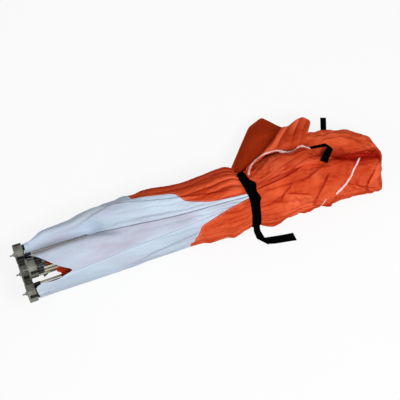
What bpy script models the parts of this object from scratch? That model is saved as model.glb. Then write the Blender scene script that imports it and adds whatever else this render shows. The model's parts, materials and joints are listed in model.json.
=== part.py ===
"""Folded cube tent: five umbrella hubs with four rods each, eight corner fittings,
the gathered canopy, its strap and two webbing tabs. Metres, +Z up.

The folded bundle lies along +X with its hubs at the low end. The origin is in the flat
underside of the canopy, which is where the bundle rests on the ground."""

import math

import bmesh
import bpy
from mathutils import Matrix, Vector

# Frame
CUBE = 1.8                # edge of the opened cube, from corner to corner
FIT = 0.0003              # gap between pieces that seat on each other
HUB_RADIUS = 0.036
HUB_THICK = 0.032
HUB_EDGE = 0.0022         # rounded rim
HUB_GAP = 0.002           # rim to rim in the folded row
HUB_PITCH = 2 * HUB_RADIUS + HUB_GAP
HUB_BACK_PLATE = 0.006    # plate behind the rod sockets
HUB_DISH = 0.0012         # shallow turned ring in the inner face
HUB_SIDES = 32
PIN_CIRCLE = 0.025        # hub axis to each rod's pin
PIN_RADIUS = 0.002
PIN_PLAY = 0.0003
EYE_RADIUS = 0.0062       # rounded end of a rod socket, round its pin
SOCKET_WIDTH = 0.0110
SLOT_PLAY = 0.0008        # each side of a socket in its slot
SLOT_INNER = 0.0145       # hub axis to the inner wall of a slot
BOLT_RADIUS = 0.003
BOLT_STICK_OUT = 0.017
NUT_RADIUS = 0.0068
NUT_THICK = 0.005
WASHER_RADIUS = 0.0090
WASHER_THICK = 0.0012
BOLT_HEAD_RADIUS = 0.0080
BOLT_HEAD_THICK = 0.004
ROD_RADIUS = 0.004
ROD_SIDES = 8
SOCKET_RADIUS = 0.0058
SOCKET_LENGTH = 0.040
FERRULE_RADIUS = 0.0055
FERRULE_LENGTH = 0.032

# Corner fittings
CORNER_REACH = 0.026      # rod end to the middle of its corner knuckle
BALL_RADIUS = 0.0065
STEM_RADIUS = 0.003
BOSS_RADIUS = 0.0066
POST_RADIUS = 0.0042
PLATE_AHEAD = 0.012       # furthest knuckle to the plate that carries them
PLATE_THICK = 0.004
PLATE_RADIUS = 0.0066
ROUND_PLATE_RADIUS = 0.0105
LOOSE_END = 0.012         # a rod whose corner pivot is left open ends this much sooner

# Folded bundle
TIP_PITCH = 0.050         # the rods run together towards their tips
TIP_ROW_HEIGHT = 0.092
TIP_LAYER = 0.046         # height between two layers of tips
INBOARD = 0.026           # the top and the bottom hub sit this far behind the row
GROUND_GAP = 0.0005
ORIGIN_ALONG = 0.42       # hub row to the origin
TOP_HUB_SIDE = -0.013
TOP_TIP_SIDE = -0.008
LOW_TIP_SIDE = 0.025

# Folded wall cloth inside each umbrella: two pleated halves, back to back
PLEAT_WIDTH = 0.024
PLEAT_THICK = 0.006
PLEAT_APART = 0.0006      # gap between the two halves
PLEAT_END_WIDTH = 0.018
PLEAT_TAB = 0.020         # the stretch sewn up to the rod's ferrule
PLEAT_TAB_WIDTH = 0.012

# Gathered outer cloth, as thick as its layers together
CLOTH = 0.004
CLOTH_CLEAR = 0.0025      # rods to the cloth round them
CLOTH_COLUMNS = 36
CLOTH_SQUARENESS = 2.5    # exponent of the bundle's oval section, below its middle
CLOTH_ROOF = 1.8          # and above it, where the cloth hangs from the top rods to the side ones
WHITE_START = 0.052
WHITE_END = 0.600         # from the hub row to the seam between white and orange
WAIST_END = 0.872
SKIRT_PAST = 0.123        # the gathered end past the rods' own length
SEAM_GAP = 0.0006
MOUTH_DEPTH = 0.100       # the white cloth's front edge falls back this far on top
MOUTH_ANGLE = 115
MOUTH_SPREAD = 38
STRAP_START = 0.806
STRAP_WIDTH = 0.033
STRAP_THICK = 0.003
STRAP_ROOM = 0.006        # plain stretch of the waist each side of the strap
TAIL_WIDTH = 0.026
TAIL_THICK = 0.002
TAIL_LENGTH = 0.113       # the stretch that lies along the ground
TAIL_TOP = 0.098
TAIL_LEAVES = 0.030       # height where the tail leaves the strap
TAIL_TOUCH = 0.0007
TAIL_SHIFT = 0.004        # the tail's middle past the strap's
TAIL_SWING = 0.014        # how far along the bundle it has swung where it turns
TAIL_SKEW = 0.018         # how far the tail's end lies further out than its turn
STRAP_TOUCH = 0.0005
TAB_WIDTH = 0.025
TAB_THICK = 0.0022
TAB_TOUCH = 0.0006
WING_THICK = 0.004
WING_RISE = 0.012         # the middle of a loose fold over the straight line from root to tip
GUSSET_WIDTH = 0.016

ROD_LENGTH = CUBE / math.sqrt(2) - PIN_CIRCLE - CORNER_REACH
HUB_FACE = HUB_THICK / 2
LAYER = math.sqrt(HUB_PITCH**2 - (HUB_PITCH / 2) ** 2)
LOW_HEIGHT = HUB_RADIUS + GROUND_GAP
ROW_HEIGHT = LOW_HEIGHT + LAYER
TOP_HEIGHT = ROW_HEIGHT + math.sqrt(HUB_PITCH**2 - TOP_HUB_SIDE**2)
STEM_END = CORNER_REACH - BALL_RADIUS - FIT
STRAP_MIDDLE = STRAP_START + STRAP_WIDTH / 2
SKIRT_END = ROD_LENGTH + SKIRT_PAST

# Each umbrella: its hub, its tips, and the corner that each of its rods reaches, counted
# round the hub from the low left, as seen from the tips
UMBRELLAS = {
    "left_wall": {
        "hub": (0, 0, ROW_HEIGHT),
        "tips": (0, 0, TIP_ROW_HEIGHT),
        "corners": ("low_back_left", "low_front_left", "top_front_left", "top_back_left"),
    },
    "front_wall": {
        "hub": (0, HUB_PITCH, ROW_HEIGHT),
        "tips": (0, TIP_PITCH, TIP_ROW_HEIGHT),
        "corners": ("low_front_right", "top_front_right", "top_front_left", "low_front_left"),
    },
    "right_wall": {
        "hub": (INBOARD, HUB_PITCH / 2, LOW_HEIGHT),
        "tips": (INBOARD, LOW_TIP_SIDE, TIP_ROW_HEIGHT - TIP_LAYER),
        "corners": ("top_back_right", "top_front_right", "low_front_right", "low_back_right"),
    },
    "back_wall": {
        "hub": (0, -HUB_PITCH, ROW_HEIGHT),
        "tips": (0, -TIP_PITCH, TIP_ROW_HEIGHT),
        "corners": ("top_back_right", "low_back_right", "low_back_left", "top_back_left"),
    },
    "roof": {
        "hub": (INBOARD, TOP_HUB_SIDE, TOP_HEIGHT),
        "tips": (INBOARD, TOP_TIP_SIDE, TIP_ROW_HEIGHT + TIP_LAYER),
        "corners": ("top_back_left", "top_front_left", "top_front_right", "top_back_right"),
    },
}

# Each corner fitting: the wall whose rod ends in it, and the walls whose rods pivot on it
FITTINGS = {
    "low_front_right": (None, ("right_wall", "front_wall")),
    "low_front_left": ("front_wall", ("left_wall",)),
    "low_back_left": ("left_wall", ("back_wall",)),
    "low_back_right": ("right_wall", ()),
    "top_front_left": ("front_wall", ()),
    "top_back_left": ("left_wall", ("roof",)),
    "top_back_right": ("right_wall", ()),
    "top_front_right": ("roof", ()),
}

ROOT_CORNER = "low_front_right"

# The canopy's outer surface: distance along X, then how far the cloth stands off the rods
# at the front, at the back and on top
WHITE_STATIONS = (
    (WHITE_START, 0.006, 0.024, 0.008),
    (0.150, 0.003, 0.034, 0.010),
    (0.250, 0.002, 0.044, 0.012),
    (0.340, 0.002, 0.056, 0.014),
    (0.450, 0.002, 0.052, 0.014),
    (WHITE_END, 0.002, 0.044, 0.014),
)
WAIST_STATIONS = (
    (WHITE_END + SEAM_GAP, 0.002, 0.044, 0.014),
    (0.700, 0.008, 0.048, 0.016),
    (0.775, 0.012, 0.046, 0.012),
    (STRAP_START - STRAP_ROOM, 0.005, 0.015, 0.009),
    (STRAP_START + STRAP_WIDTH + STRAP_ROOM, 0.005, 0.015, 0.009),
    (WAIST_END, 0.014, 0.022, 0.012),
)
SKIRT_STATIONS = (
    (WAIST_END + SEAM_GAP, 0.014, 0.022, 0.012),
    (0.900, 0.026, 0.040, 0.016),
    (0.950, 0.022, 0.056, 0.020),
    (1.050, 0.026, 0.074, 0.025),
    (1.090, 0.031, 0.079, 0.026),
    (1.140, 0.022, 0.0710, 0.0250),
    (1.165, 0.022, 0.0725, 0.0260),
    (ROD_LENGTH, 0.022, 0.052, 0.022),
    (SKIRT_END - 0.050, 0.022, 0.014, 0.012),
    (SKIRT_END - 0.022, -0.006, -0.020, -0.020),
    (SKIRT_END, -0.036, -0.046, -0.062),
)

# Two long hollows on top: from the hubs along the back wall of the roof's umbrella, and the
# pocket at the gathered end. Distance along X, place across, and the share of the cloth's
# height over the rods of the row that is lost there
HOLLOWS = (
    (WHITE_START, 0.056, 1.00),
    (0.220, 0.053, 1.00),
    (0.300, 0.045, 0.72),
    (0.400, 0.023, 0.34),
    (0.500, 0.004, 0.14),
    (WHITE_END, -0.004, 0.05),
    (STRAP_START, -0.004, 0.00),
    (1.090, 0.052, 0.00),
    (1.140, 0.052, 0.80),
    (SKIRT_END - 0.050, 0.052, 0.80),
    (SKIRT_END, 0.052, 0.00),
)
HOLLOW_NEAR = 0.028       # how far a hollow spreads towards the front
HOLLOW_FAR = 0.048        # and towards the back
HOLLOW_LIFT = 0.004       # its floor over the cloth's lowest place on the rods

# Loose folds at the back: where each leaves the skirt (its station, and the angle round it),
# and the free point it runs to
BACK_FOLD = (
    ((0, 25), (0.866, 0.200, 0.070)),
    ((1, 15), (0.912, 0.258, 0.050)),
    ((2, 15), (0.975, 0.277, 0.060)),
    ((3, 15), (1.010, 0.250, 0.070)),
    ((3, 5), (1.038, 0.226, 0.052)),
)
SMALL_FOLD = (
    ((3, 35), (1.045, 0.215, 0.132)),
    ((4, 35), (1.105, 0.222, 0.128)),
    ((5, 35), (1.132, 0.200, 0.108)),
)

# Webbing tabs: where each is sewn to the skirt, then the places it runs through, counted from
# there, each with the direction of its width
TAB_UPRIGHT_ROOT = (6, 25)
TAB_UPRIGHT = (
    ((0.000, 0.000, 0.000), (1, 0, 0)),
    ((0.002, 0.009, 0.015), (1, 0, 0)),
    ((0.004, 0.017, 0.026), (1, 0, 0)),
    ((0.008, 0.039, 0.046), (1, 0, 0)),
)
TAB_BENT_ROOT = (4, 55)
TAB_BENT = (
    ((0.000, -0.0044, 0.0118), (0, 0.35, -0.94)),
    ((0.035, -0.0106, 0.0170), (0, 0.45, -0.89)),
    ((0.060, -0.0171, 0.0220), (-0.2, 0.55, -0.80)),
    ((0.063, -0.0291, 0.0270), (-0.5, 0.60, -0.60)),
    ((0.045, -0.0511, 0.0300), (-0.75, 0.60, -0.25)),
    ((0.025, -0.0741, 0.0290), (-0.79, 0.61, 0)),
)


def clear_scene():
    for thing in list(bpy.data.objects):
        bpy.data.objects.remove(thing)


def make_material(name, colour, roughness, metallic=0.0):
    material = bpy.data.materials.new(name)
    material.use_nodes = True
    shader = material.node_tree.nodes["Principled BSDF"]
    shader.inputs["Base Color"].default_value = (*colour, 1.0)
    shader.inputs["Roughness"].default_value = roughness
    shader.inputs["Metallic"].default_value = metallic
    return material


def add_object(name, mesh, material, parent=None):
    thing = bpy.data.objects.new(name, mesh)
    bpy.context.scene.collection.objects.link(thing)
    if not mesh.materials:
        mesh.materials.append(material)
    thing.material_slots[0].link = "OBJECT"
    thing.material_slots[0].material = material
    thing.parent = parent
    return thing


def mesh_from(name, points, faces, smooth=True):
    mesh = bpy.data.meshes.new(name)
    mesh.from_pydata([tuple(p) for p in points], [], faces)
    work = bmesh.new()
    work.from_mesh(mesh)
    bmesh.ops.recalc_face_normals(work, faces=work.faces)
    work.to_mesh(mesh)
    work.free()
    if smooth:
        mesh.shade_smooth()
        mesh.set_sharp_from_angle(angle=math.radians(40))
    return mesh


def turned(name, profile, sides):
    """A closed solid turned about X from (along, radius) points whose ends lie on the axis."""
    points = [(profile[0][0], 0, 0)]
    rings = profile[1:-1]
    for along, radius in rings:
        for k in range(sides):
            angle = 2 * math.pi * k / sides
            points.append((along, radius * math.cos(angle), radius * math.sin(angle)))
    points.append((profile[-1][0], 0, 0))
    last = len(points) - 1
    faces = []
    for k in range(sides):
        after = (k + 1) % sides
        faces.append((0, 1 + after, 1 + k))
        for ring in range(len(rings) - 1):
            a = 1 + ring * sides
            b = a + sides
            faces.append((a + k, a + after, b + after, b + k))
        a = 1 + (len(rings) - 1) * sides
        faces.append((a + k, a + after, last))
    return mesh_from(name, points, faces)


def box(name, low, high):
    corners = [(x, y, z) for x in (low[0], high[0]) for y in (low[1], high[1]) for z in (low[2], high[2])]
    faces = [(0, 1, 3, 2), (4, 6, 7, 5), (0, 4, 5, 1), (2, 3, 7, 6), (0, 2, 6, 4), (1, 5, 7, 3)]
    return mesh_from(name, corners, faces, smooth=False)


def rod_between(name, start, end, radius, sides):
    """A closed cylinder between two points."""
    start = Vector(start)
    end = Vector(end)
    length = (end - start).length
    mesh = turned(name, ((0, 0), (0, radius), (length, radius), (length, 0)), sides)
    mesh.transform(place(start, end - start))
    return mesh


def ball(name, middle, radius):
    steps = 6
    profile = [(-radius * math.cos(math.pi * k / steps), radius * math.sin(math.pi * k / steps))
               for k in range(steps + 1)]
    mesh = turned(name, profile, 10)
    mesh.transform(Matrix.Translation(middle))
    return mesh


def place(point, along, across=None):
    """The frame with its origin at point, its X along one direction and its Y near another."""
    x = Vector(along).normalized()
    hint = Vector(across) if across else Vector((0, 0, 1)) if abs(x.z) < 0.9 else Vector((0, 1, 0))
    z = x.cross(hint).normalized()
    y = z.cross(x)
    frame = Matrix((x, y, z)).transposed().to_4x4()
    frame.translation = Vector(point)
    return frame


def combined(name, base, joins=(), cuts=()):
    """One closed mesh from a base with others joined to it and then others cut from it."""
    scratch = [bpy.data.objects.new(name, base)]
    for kind, meshes in (("UNION", joins), ("DIFFERENCE", cuts)):
        for mesh in meshes:
            tool = bpy.data.objects.new(name + "_tool", mesh)
            tool.hide_render = True
            tool.display_type = "WIRE"
            scratch.append(tool)
            step = scratch[0].modifiers.new(kind, "BOOLEAN")
            step.operation = kind
            step.solver = "EXACT"
            step.object = tool
    for thing in scratch:
        bpy.context.scene.collection.objects.link(thing)
    bpy.context.view_layer.update()
    graph = bpy.context.evaluated_depsgraph_get()
    result = bpy.data.meshes.new_from_object(scratch[0].evaluated_get(graph))
    result.name = name
    for thing in scratch:
        bpy.data.objects.remove(thing)
    work = bmesh.new()
    work.from_mesh(result)
    bmesh.ops.remove_doubles(work, verts=work.verts, dist=0.00001)
    bmesh.ops.dissolve_degenerate(work, dist=0.00001, edges=work.edges)
    work.to_mesh(result)
    work.free()
    result.shade_smooth()
    result.set_sharp_from_angle(angle=math.radians(40))
    return result


def along_x(share, wall_end, tip_end):
    return wall_end + (tip_end - wall_end) * share


def umbrella_frame(umbrella):
    """Hub centre, the direction of its folded rods, and two directions across them."""
    hub = Vector(umbrella["hub"])
    tips = Vector(umbrella["tips"]) + Vector((ROD_LENGTH, 0, 0))
    along = (tips - hub).normalized()
    side = (Vector((0, 1, 0)) - along * along.y).normalized()
    return hub, along, side, along.cross(side)


def rod_frame(umbrella, corner):
    """The frame of one rod: origin on its hub pin, X along the rod, Y away from the hub axis."""
    hub, along, side, up = umbrella_frame(umbrella)
    angle = math.radians(225 + 90 * umbrella["corners"].index(corner))
    out = side * math.cos(angle) + up * math.sin(angle)
    frame = Matrix((along, out, along.cross(out))).transposed().to_4x4()
    frame.translation = hub + out * PIN_CIRCLE
    return frame


def knuckle(wall, corner):
    """The middle of a rod's knuckle in its corner fitting."""
    return rod_frame(UMBRELLAS[wall], corner) @ Vector((ROD_LENGTH + CORNER_REACH, 0, 0))


def hub_mesh():
    """The cast drum: four slots open to its rim and its outer face, each with its pin."""
    face = HUB_FACE
    profile = (
        (-face + HUB_DISH, 0), (-face + HUB_DISH, HUB_RADIUS * 0.62), (-face, HUB_RADIUS * 0.70),
        (-face, HUB_RADIUS - HUB_EDGE), (-face + HUB_EDGE, HUB_RADIUS),
        (face - HUB_EDGE, HUB_RADIUS), (face, HUB_RADIUS - HUB_EDGE), (face, 0),
    )
    drum = turned("hub", profile, HUB_SIDES)
    slot_half = SOCKET_WIDTH / 2 + SLOT_PLAY
    beyond = HUB_RADIUS * 1.2
    cuts = [rod_between("bore", (-HUB_THICK, 0, 0), (HUB_THICK, 0, 0), BOLT_RADIUS + FIT, 12)]
    pins = []
    for quarter in range(4):
        turn = Matrix.Rotation(math.radians(45 + 90 * quarter), 4, "X")
        slot = box("slot", (-face + HUB_BACK_PLATE, SLOT_INNER, -slot_half), (HUB_THICK, beyond, slot_half))
        slot.transform(turn)
        cuts.append(slot)
        reach = slot_half + PIN_RADIUS
        pin = rod_between("pin", (0, PIN_CIRCLE, -reach), (0, PIN_CIRCLE, reach), PIN_RADIUS, 10)
        pin.transform(turn)
        pins.append(pin)
    slotted = combined("slotted_hub", drum, cuts=cuts)
    return combined("hub", slotted, joins=pins)


def bolt_mesh():
    """The clamp bolt: head on the rods' side, shank through the bore, washer, nut and thread end."""
    face = HUB_FACE
    inner = -face + HUB_DISH - FIT
    outer = face + FIT
    nut = inner - WASHER_THICK
    profile = (
        (-face - BOLT_STICK_OUT, 0),
        (-face - BOLT_STICK_OUT, BOLT_RADIUS * 0.7),
        (-face - BOLT_STICK_OUT + 0.002, BOLT_RADIUS),
        (nut - NUT_THICK, BOLT_RADIUS),
        (nut - NUT_THICK, NUT_RADIUS),
        (nut, NUT_RADIUS),
        (nut, WASHER_RADIUS),
        (inner, WASHER_RADIUS),
        (inner, BOLT_RADIUS),
        (outer, BOLT_RADIUS),
        (outer, BOLT_HEAD_RADIUS),
        (outer + BOLT_HEAD_THICK * 0.6, BOLT_HEAD_RADIUS),
        (outer + BOLT_HEAD_THICK, BOLT_HEAD_RADIUS * 0.6),
        (outer + BOLT_HEAD_THICK, 0),
    )
    return turned("bolt", profile, 12)


def rod_mesh(name, end):
    """Socket with its pin eye, glass-fibre rod, ferrule, and the given end of the ferrule."""
    tip = ROD_LENGTH - (LOOSE_END if end == "loose" else 0)
    profile = [
        (0.001, 0), (0.001, SOCKET_RADIUS * 0.80), (0.006, SOCKET_RADIUS),
        (SOCKET_LENGTH - 0.003, SOCKET_RADIUS), (SOCKET_LENGTH, ROD_RADIUS),
        (tip - FERRULE_LENGTH, ROD_RADIUS), (tip - FERRULE_LENGTH + 0.002, FERRULE_RADIUS),
        (tip, FERRULE_RADIUS),
    ]
    if end == "stem":
        profile += [(tip + 0.002, STEM_RADIUS), (tip + STEM_END, STEM_RADIUS), (tip + STEM_END, 0)]
    else:
        profile += [(tip, 0)]
    body = turned(name, profile, ROD_SIDES)
    half = SOCKET_WIDTH / 2
    eye = rod_between("eye", (0, 0, -half), (0, 0, half), EYE_RADIUS, 14)
    hole = rod_between("hole", (0, 0, -2 * half), (0, 0, 2 * half), PIN_RADIUS + PIN_PLAY, 10)
    return combined(name, body, joins=[eye], cuts=[hole])


def rod_end(wall, corner):
    held_by, pivots = FITTINGS[corner]
    if wall == held_by:
        return "butt"
    return "stem" if wall in pivots else "loose"


def fitting_mesh(corner):
    """A moulded corner: a boss on the rod it caps, and knuckles on posts from one plate."""
    held_by, pivots = FITTINGS[corner]
    spots = [knuckle(wall, corner) for wall in ([held_by] if held_by else []) + list(pivots)]
    plate_at = max(spot.x for spot in spots) + PLATE_AHEAD
    radius = PLATE_RADIUS if len(spots) > 1 else ROUND_PLATE_RADIUS
    discs = []
    for spot in spots:
        front = Vector((plate_at, spot.y, spot.z))
        back = front + Vector((PLATE_THICK, 0, 0))
        discs.append(rod_between("disc", front, back, radius, 14))
    joins = discs[1:]
    if len(spots) > 1:
        joins.append(web_mesh(spots[0], spots[1], plate_at, radius))
    for wall in pivots:
        spot = knuckle(wall, corner)
        joins.append(ball("knuckle", spot, BALL_RADIUS))
        joins.append(rod_between("post", spot, (plate_at + PLATE_THICK / 2, spot.y, spot.z), POST_RADIUS, 8))
    if held_by:
        along = rod_frame(UMBRELLAS[held_by], corner).col[0].xyz
        spot = knuckle(held_by, corner)
        start = spot - along * (CORNER_REACH - FIT)
        stop = spot + along * ((plate_at + PLATE_THICK / 2 - spot.x) / along.x)
        joins.append(rod_between("boss", start, stop, BOSS_RADIUS, 12))
    return combined(corner + "_fitting", discs[0], joins=joins)


def web_mesh(one, other, plate_at, radius):
    """The straight web of a plate between two of its knuckles."""
    line = Vector((0, other.y - one.y, other.z - one.z))
    across = line.cross(Vector((1, 0, 0))).normalized() * radius * 0.8
    points = []
    for x in (plate_at + PLATE_THICK * 0.1, plate_at + PLATE_THICK * 0.9):
        for spot in (one, other):
            for side in (across, -across):
                points.append(Vector((x, spot.y, spot.z)) + side)
    faces = [(0, 1, 3, 2), (4, 6, 7, 5), (0, 4, 5, 1), (2, 3, 7, 6), (0, 2, 6, 4), (1, 5, 7, 3)]
    return mesh_from("web", points, faces, smooth=False)


def pleat_mesh(name):
    """Half a wall's cloth, folded flat along one rod inside the umbrella.

    In the rod's frame it lies along the hub axis, with a hem that reaches up to the rod's ferrule."""
    start = HUB_FACE + BOLT_HEAD_THICK + 0.004
    stop = ROD_LENGTH + CORNER_REACH + PIN_CIRCLE * 0.2
    near = -PIN_CIRCLE + PLEAT_APART / 2
    far = near + PLEAT_THICK
    rows = (
        (start, PLEAT_WIDTH * 0.45, near, far - PLEAT_THICK * 0.4),
        (start + 0.10, PLEAT_WIDTH / 2, near, far),
        (stop - 0.20, PLEAT_WIDTH / 2, near, far),
        (stop, PLEAT_END_WIDTH / 2, near, far - PLEAT_THICK * 0.3),
    )
    points = []
    for x, half, low, high in rows:
        points += [(x, low, -half), (x, low, half), (x, high, half * 0.8), (x, high, -half * 0.8)]
    faces = [(0, 1, 2, 3)]
    for row in range(len(rows) - 1):
        for k in range(4):
            a = row * 4 + k
            b = row * 4 + (k + 1) % 4
            faces.append((a, b, b + 4, a + 4))
    last = 4 * (len(rows) - 1)
    faces.append((last + 3, last + 2, last + 1, last))
    slab = mesh_from(name, points, faces, smooth=False)
    hem_end = ROD_LENGTH - LOOSE_END - 0.004
    half = PLEAT_TAB_WIDTH / 2
    hem = box("hem", (hem_end - PLEAT_TAB, far - PLEAT_THICK * 0.5, -half),
              (hem_end, -FERRULE_RADIUS - FIT, half))
    return combined(name, slab, joins=[hem])


def share_along(x):
    """How far a place lies from the hubs to the tips, from 0 to 1."""
    return min(max(x / ROD_LENGTH, 0.0), 1.0)


def hollow(x, y):
    """The share of the cloth's height that is lost at a place on top of the bundle."""
    for (x0, y0, share0), (x1, y1, share1) in zip(HOLLOWS, HOLLOWS[1:]):
        if x <= x1:
            break
    part = min(max((x - x0) / (x1 - x0), 0.0), 1.0)
    away = y - (y0 + (y1 - y0) * part)
    spread = HOLLOW_NEAR if away < 0 else HOLLOW_FAR
    return (share0 + (share1 - share0) * part) * math.exp(-((away / spread) ** 2))


def oval(x, front, back, top, off=0.0, lift=0.0):
    """The bundle's section at x: a flattened oval round every rod, standing off them.

    The offset moves all of it outwards. It is cut flat where it meets the ground, at the height lift."""
    share = share_along(x)
    diagonal = PIN_CIRCLE / math.sqrt(2) + SOCKET_RADIUS + CLOTH_CLEAR + CLOTH + off
    half = along_x(share, HUB_PITCH, TIP_PITCH) + diagonal
    middle = along_x(share, ROW_HEIGHT, TIP_ROW_HEIGHT)
    high = along_x(share, TOP_HEIGHT, TIP_ROW_HEIGHT + TIP_LAYER) + diagonal + top - middle
    low = middle + 2 * CLOTH
    floor = middle + diagonal + HOLLOW_LIFT
    ring = []
    for k in range(CLOTH_COLUMNS):
        angle = 2 * math.pi * (k + 0.5) / CLOTH_COLUMNS
        c = math.cos(angle)
        s = math.sin(angle)
        power = 2 / (CLOTH_ROOF if s > 0 else CLOTH_SQUARENESS)
        across = math.copysign(abs(c) ** power, c)
        up = math.copysign(abs(s) ** power, s)
        y = across * (half + (back if across > 0 else front))
        z = middle + up * (high if up > 0 else low)
        if z > floor:
            z -= (z - floor) * hollow(x, y)
        ring.append((y, max(z, lift), math.degrees(angle)))
    return ring


def mouth_depth(degrees):
    """How far the white cloth's edge falls back, most on top towards the front."""
    return MOUTH_DEPTH * math.exp(-(((degrees - MOUTH_ANGLE) / MOUTH_SPREAD) ** 2))


def cloth_tube(name, stations, mouth=False, strap=False):
    """Thick cloth lofted through ovals, hollow round the rods and open at both ends."""
    layers = []
    for inset in (0, CLOTH):
        rings = []
        for index, (x, front, back, top) in enumerate(stations):
            under_strap = strap and abs(x - STRAP_MIDDLE) < STRAP_WIDTH
            lift = STRAP_THICK + 2 * FIT if under_strap else 0.0
            at = STRAP_MIDDLE if under_strap else x
            ring = []
            for y, z, degrees in oval(at, front, back, top, -inset, lift + inset):
                back_by = mouth_depth(degrees) if mouth and index == 0 else 0
                ring.append((x + back_by, y, z))
            rings.append(ring)
        layers.append(rings)
    points = [p for rings in layers for ring in rings for p in ring]
    count = len(stations)
    n = CLOTH_COLUMNS
    faces = []
    for k in range(n):
        after = (k + 1) % n
        for row in range(count - 1):
            a = row * n
            b = a + n
            faces.append((a + k, b + k, b + after, a + after))
            a += count * n
            b += count * n
            faces.append((a + k, a + after, b + after, b + k))
        inner = count * n
        faces.append((k, after, inner + after, inner + k))
        a = (count - 1) * n
        faces.append((a + after, a + k, inner + a + k, inner + a + after))
    return mesh_from(name, points, faces)


def skirt_mesh():
    """The gathered skirt, with the gusset that holds the ground corner's fitting."""
    tube = cloth_tube("skirt", SKIRT_STATIONS)
    spots = [knuckle(wall, ROOT_CORNER) for wall in FITTINGS[ROOT_CORNER][1]]
    low = min(spots, key=lambda spot: spot.z)
    plate_at = max(spot.x for spot in spots) + PLATE_AHEAD
    half = GUSSET_WIDTH / 2
    top = low.z - PLATE_RADIUS - FIT
    foot = (plate_at - PLATE_THICK, low.y - half, CLOTH / 2)
    head = (plate_at + 2 * PLATE_THICK, low.y + half, top)
    return combined("skirt", tube, joins=[box("gusset", foot, head)])


def strap_mesh():
    """The webbing wound round the waist, lying flat on the cloth."""
    _, front, back, top = WAIST_STATIONS[3]
    layers = []
    for off in (STRAP_TOUCH, STRAP_TOUCH + STRAP_THICK):
        lift = STRAP_THICK + 2 * FIT - off if off < STRAP_THICK else 0.0
        ring = oval(STRAP_MIDDLE, front, back, top, off, max(lift, 0.0))
        layers.append([[(x, y, z) for y, z, _ in ring] for x in (STRAP_START, STRAP_START + STRAP_WIDTH)])
    n = CLOTH_COLUMNS
    points = [p for rings in layers for ring in rings for p in ring]
    faces = []
    for k in range(n):
        after = (k + 1) % n
        faces.append((2 * n + k, 3 * n + k, 3 * n + after, 2 * n + after))
        faces.append((k, after, n + after, n + k))
        faces.append((k, 2 * n + k, 2 * n + after, after))
        faces.append((n + k, n + after, 3 * n + after, 3 * n + k))
    return mesh_from("strap", points, faces)


def ribbon(name, path, widths, thick):
    """Flat webbing along a path: at each point, half its width as a vector, and its face's normal."""
    points = []
    for (middle, normal), half in zip(path, widths):
        middle = Vector(middle)
        half = Vector(half)
        up = Vector(normal).normalized() * thick
        points += [middle - half, middle + half, middle + half + up, middle - half + up]
    faces = [(3, 2, 1, 0)]
    for row in range(len(path) - 1):
        for k in range(4):
            a = row * 4 + k
            b = row * 4 + (k + 1) % 4
            faces.append((a, b, b + 4, a + 4))
    last = 4 * (len(path) - 1)
    faces.append((last, last + 1, last + 2, last + 3))
    return mesh_from(name, points, faces, smooth=False)


def strap_front():
    """Points just clear of the strap's outer face at the front, from half height down."""
    _, front, back, top = WAIST_STATIONS[3]
    ring = oval(STRAP_MIDDLE, front, back, top, STRAP_TOUCH + STRAP_THICK + TAIL_TOUCH)
    line = sorted(((y, z) for y, z, _ in ring if y < 0), key=lambda p: -p[1])
    above = [p for p in line if p[1] > TAIL_TOP][-1]
    below = [p for p in line if TAIL_LEAVES < p[1] <= TAIL_TOP]
    share = (TAIL_TOP - below[0][1]) / (above[1] - below[0][1])
    start = (below[0][0] + (above[0] - below[0][0]) * share, TAIL_TOP)
    return [start] + below


def tail_mesh():
    """The strap's free end: down the front of the bundle, then turned flat along the ground."""
    half = TAIL_WIDTH / 2
    x = STRAP_MIDDLE + TAIL_SHIFT
    path = []
    widths = []
    for y, z in strap_front():
        path.append(((x, y, z), (0, -1, 0.1)))
        widths.append((half, 0, 0))
    ground = GROUND_GAP
    out = TAIL_WIDTH * 0.85
    for share, height, normal in ((0.2, 6, (0, -1, 0.4)), (0.45, 1.5, (0, -0.6, 1)), (1, 0, (0, 0, 1))):
        spot = (x + TAIL_SWING * share * 0.5, y - out * share, ground + TAIL_THICK * height)
        path.append((spot, normal))
        widths.append((half, 0, 0))
    turn = (x + TAIL_SWING, y - out - half, ground)
    path.append((turn, (0, 0, 1)))
    widths.append((half, half, 0))
    slant = TAIL_SKEW / TAIL_LENGTH
    for far in (half * 1.3, TAIL_LENGTH):
        path.append(((turn[0] + far, turn[1] - far * slant, ground), (0, 0, 1)))
        widths.append((half * slant, half, 0))
    return ribbon("strap_tail", path, widths, TAIL_THICK)


def skirt_point(station, degrees):
    """The corner of the skirt's outer surface nearest to an angle, and the way out from the bundle."""
    x, front, back, top = SKIRT_STATIONS[station]
    column = round(degrees * CLOTH_COLUMNS / 360 - 0.5)
    y, z, degrees = oval(x, front, back, top)[column]
    away = Vector((0, math.cos(math.radians(degrees)), math.sin(math.radians(degrees))))
    return Vector((x, y, z)), away


def wing_mesh(name, ends):
    """A loose fold of cloth: a thick sheet from corners of the skirt's side to free corners."""
    lines = []
    for (station, degrees), tip in ends:
        root, away = skirt_point(station, degrees)
        start = root + away * TAB_TOUCH
        tip = Vector(tip)
        lines.append((start, start.lerp(tip, 0.5) + Vector((0, 0, WING_RISE)), tip))
    points = []
    for lift in (0, WING_THICK):
        for line in lines:
            for p in line:
                points.append(p + Vector((0, 0, lift)))
    count = len(lines)
    half = 3 * count
    faces = []
    for row in range(count - 1):
        for k in range(2):
            a = row * 3 + k
            faces.append((a, a + 1, a + 4, a + 3))
            faces.append((half + a, half + a + 3, half + a + 4, half + a + 1))
        a = row * 3
        faces.append((a, a + 3, half + a + 3, half + a))
        faces.append((a + 2, half + a + 2, half + a + 5, a + 5))
    for row, turn in ((0, 1), (count - 1, -1)):
        for k in range(2):
            a = row * 3 + k
            faces.append((a, half + a, half + a + 1, a + 1)[::turn])
    return mesh_from(name, points, faces)


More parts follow.
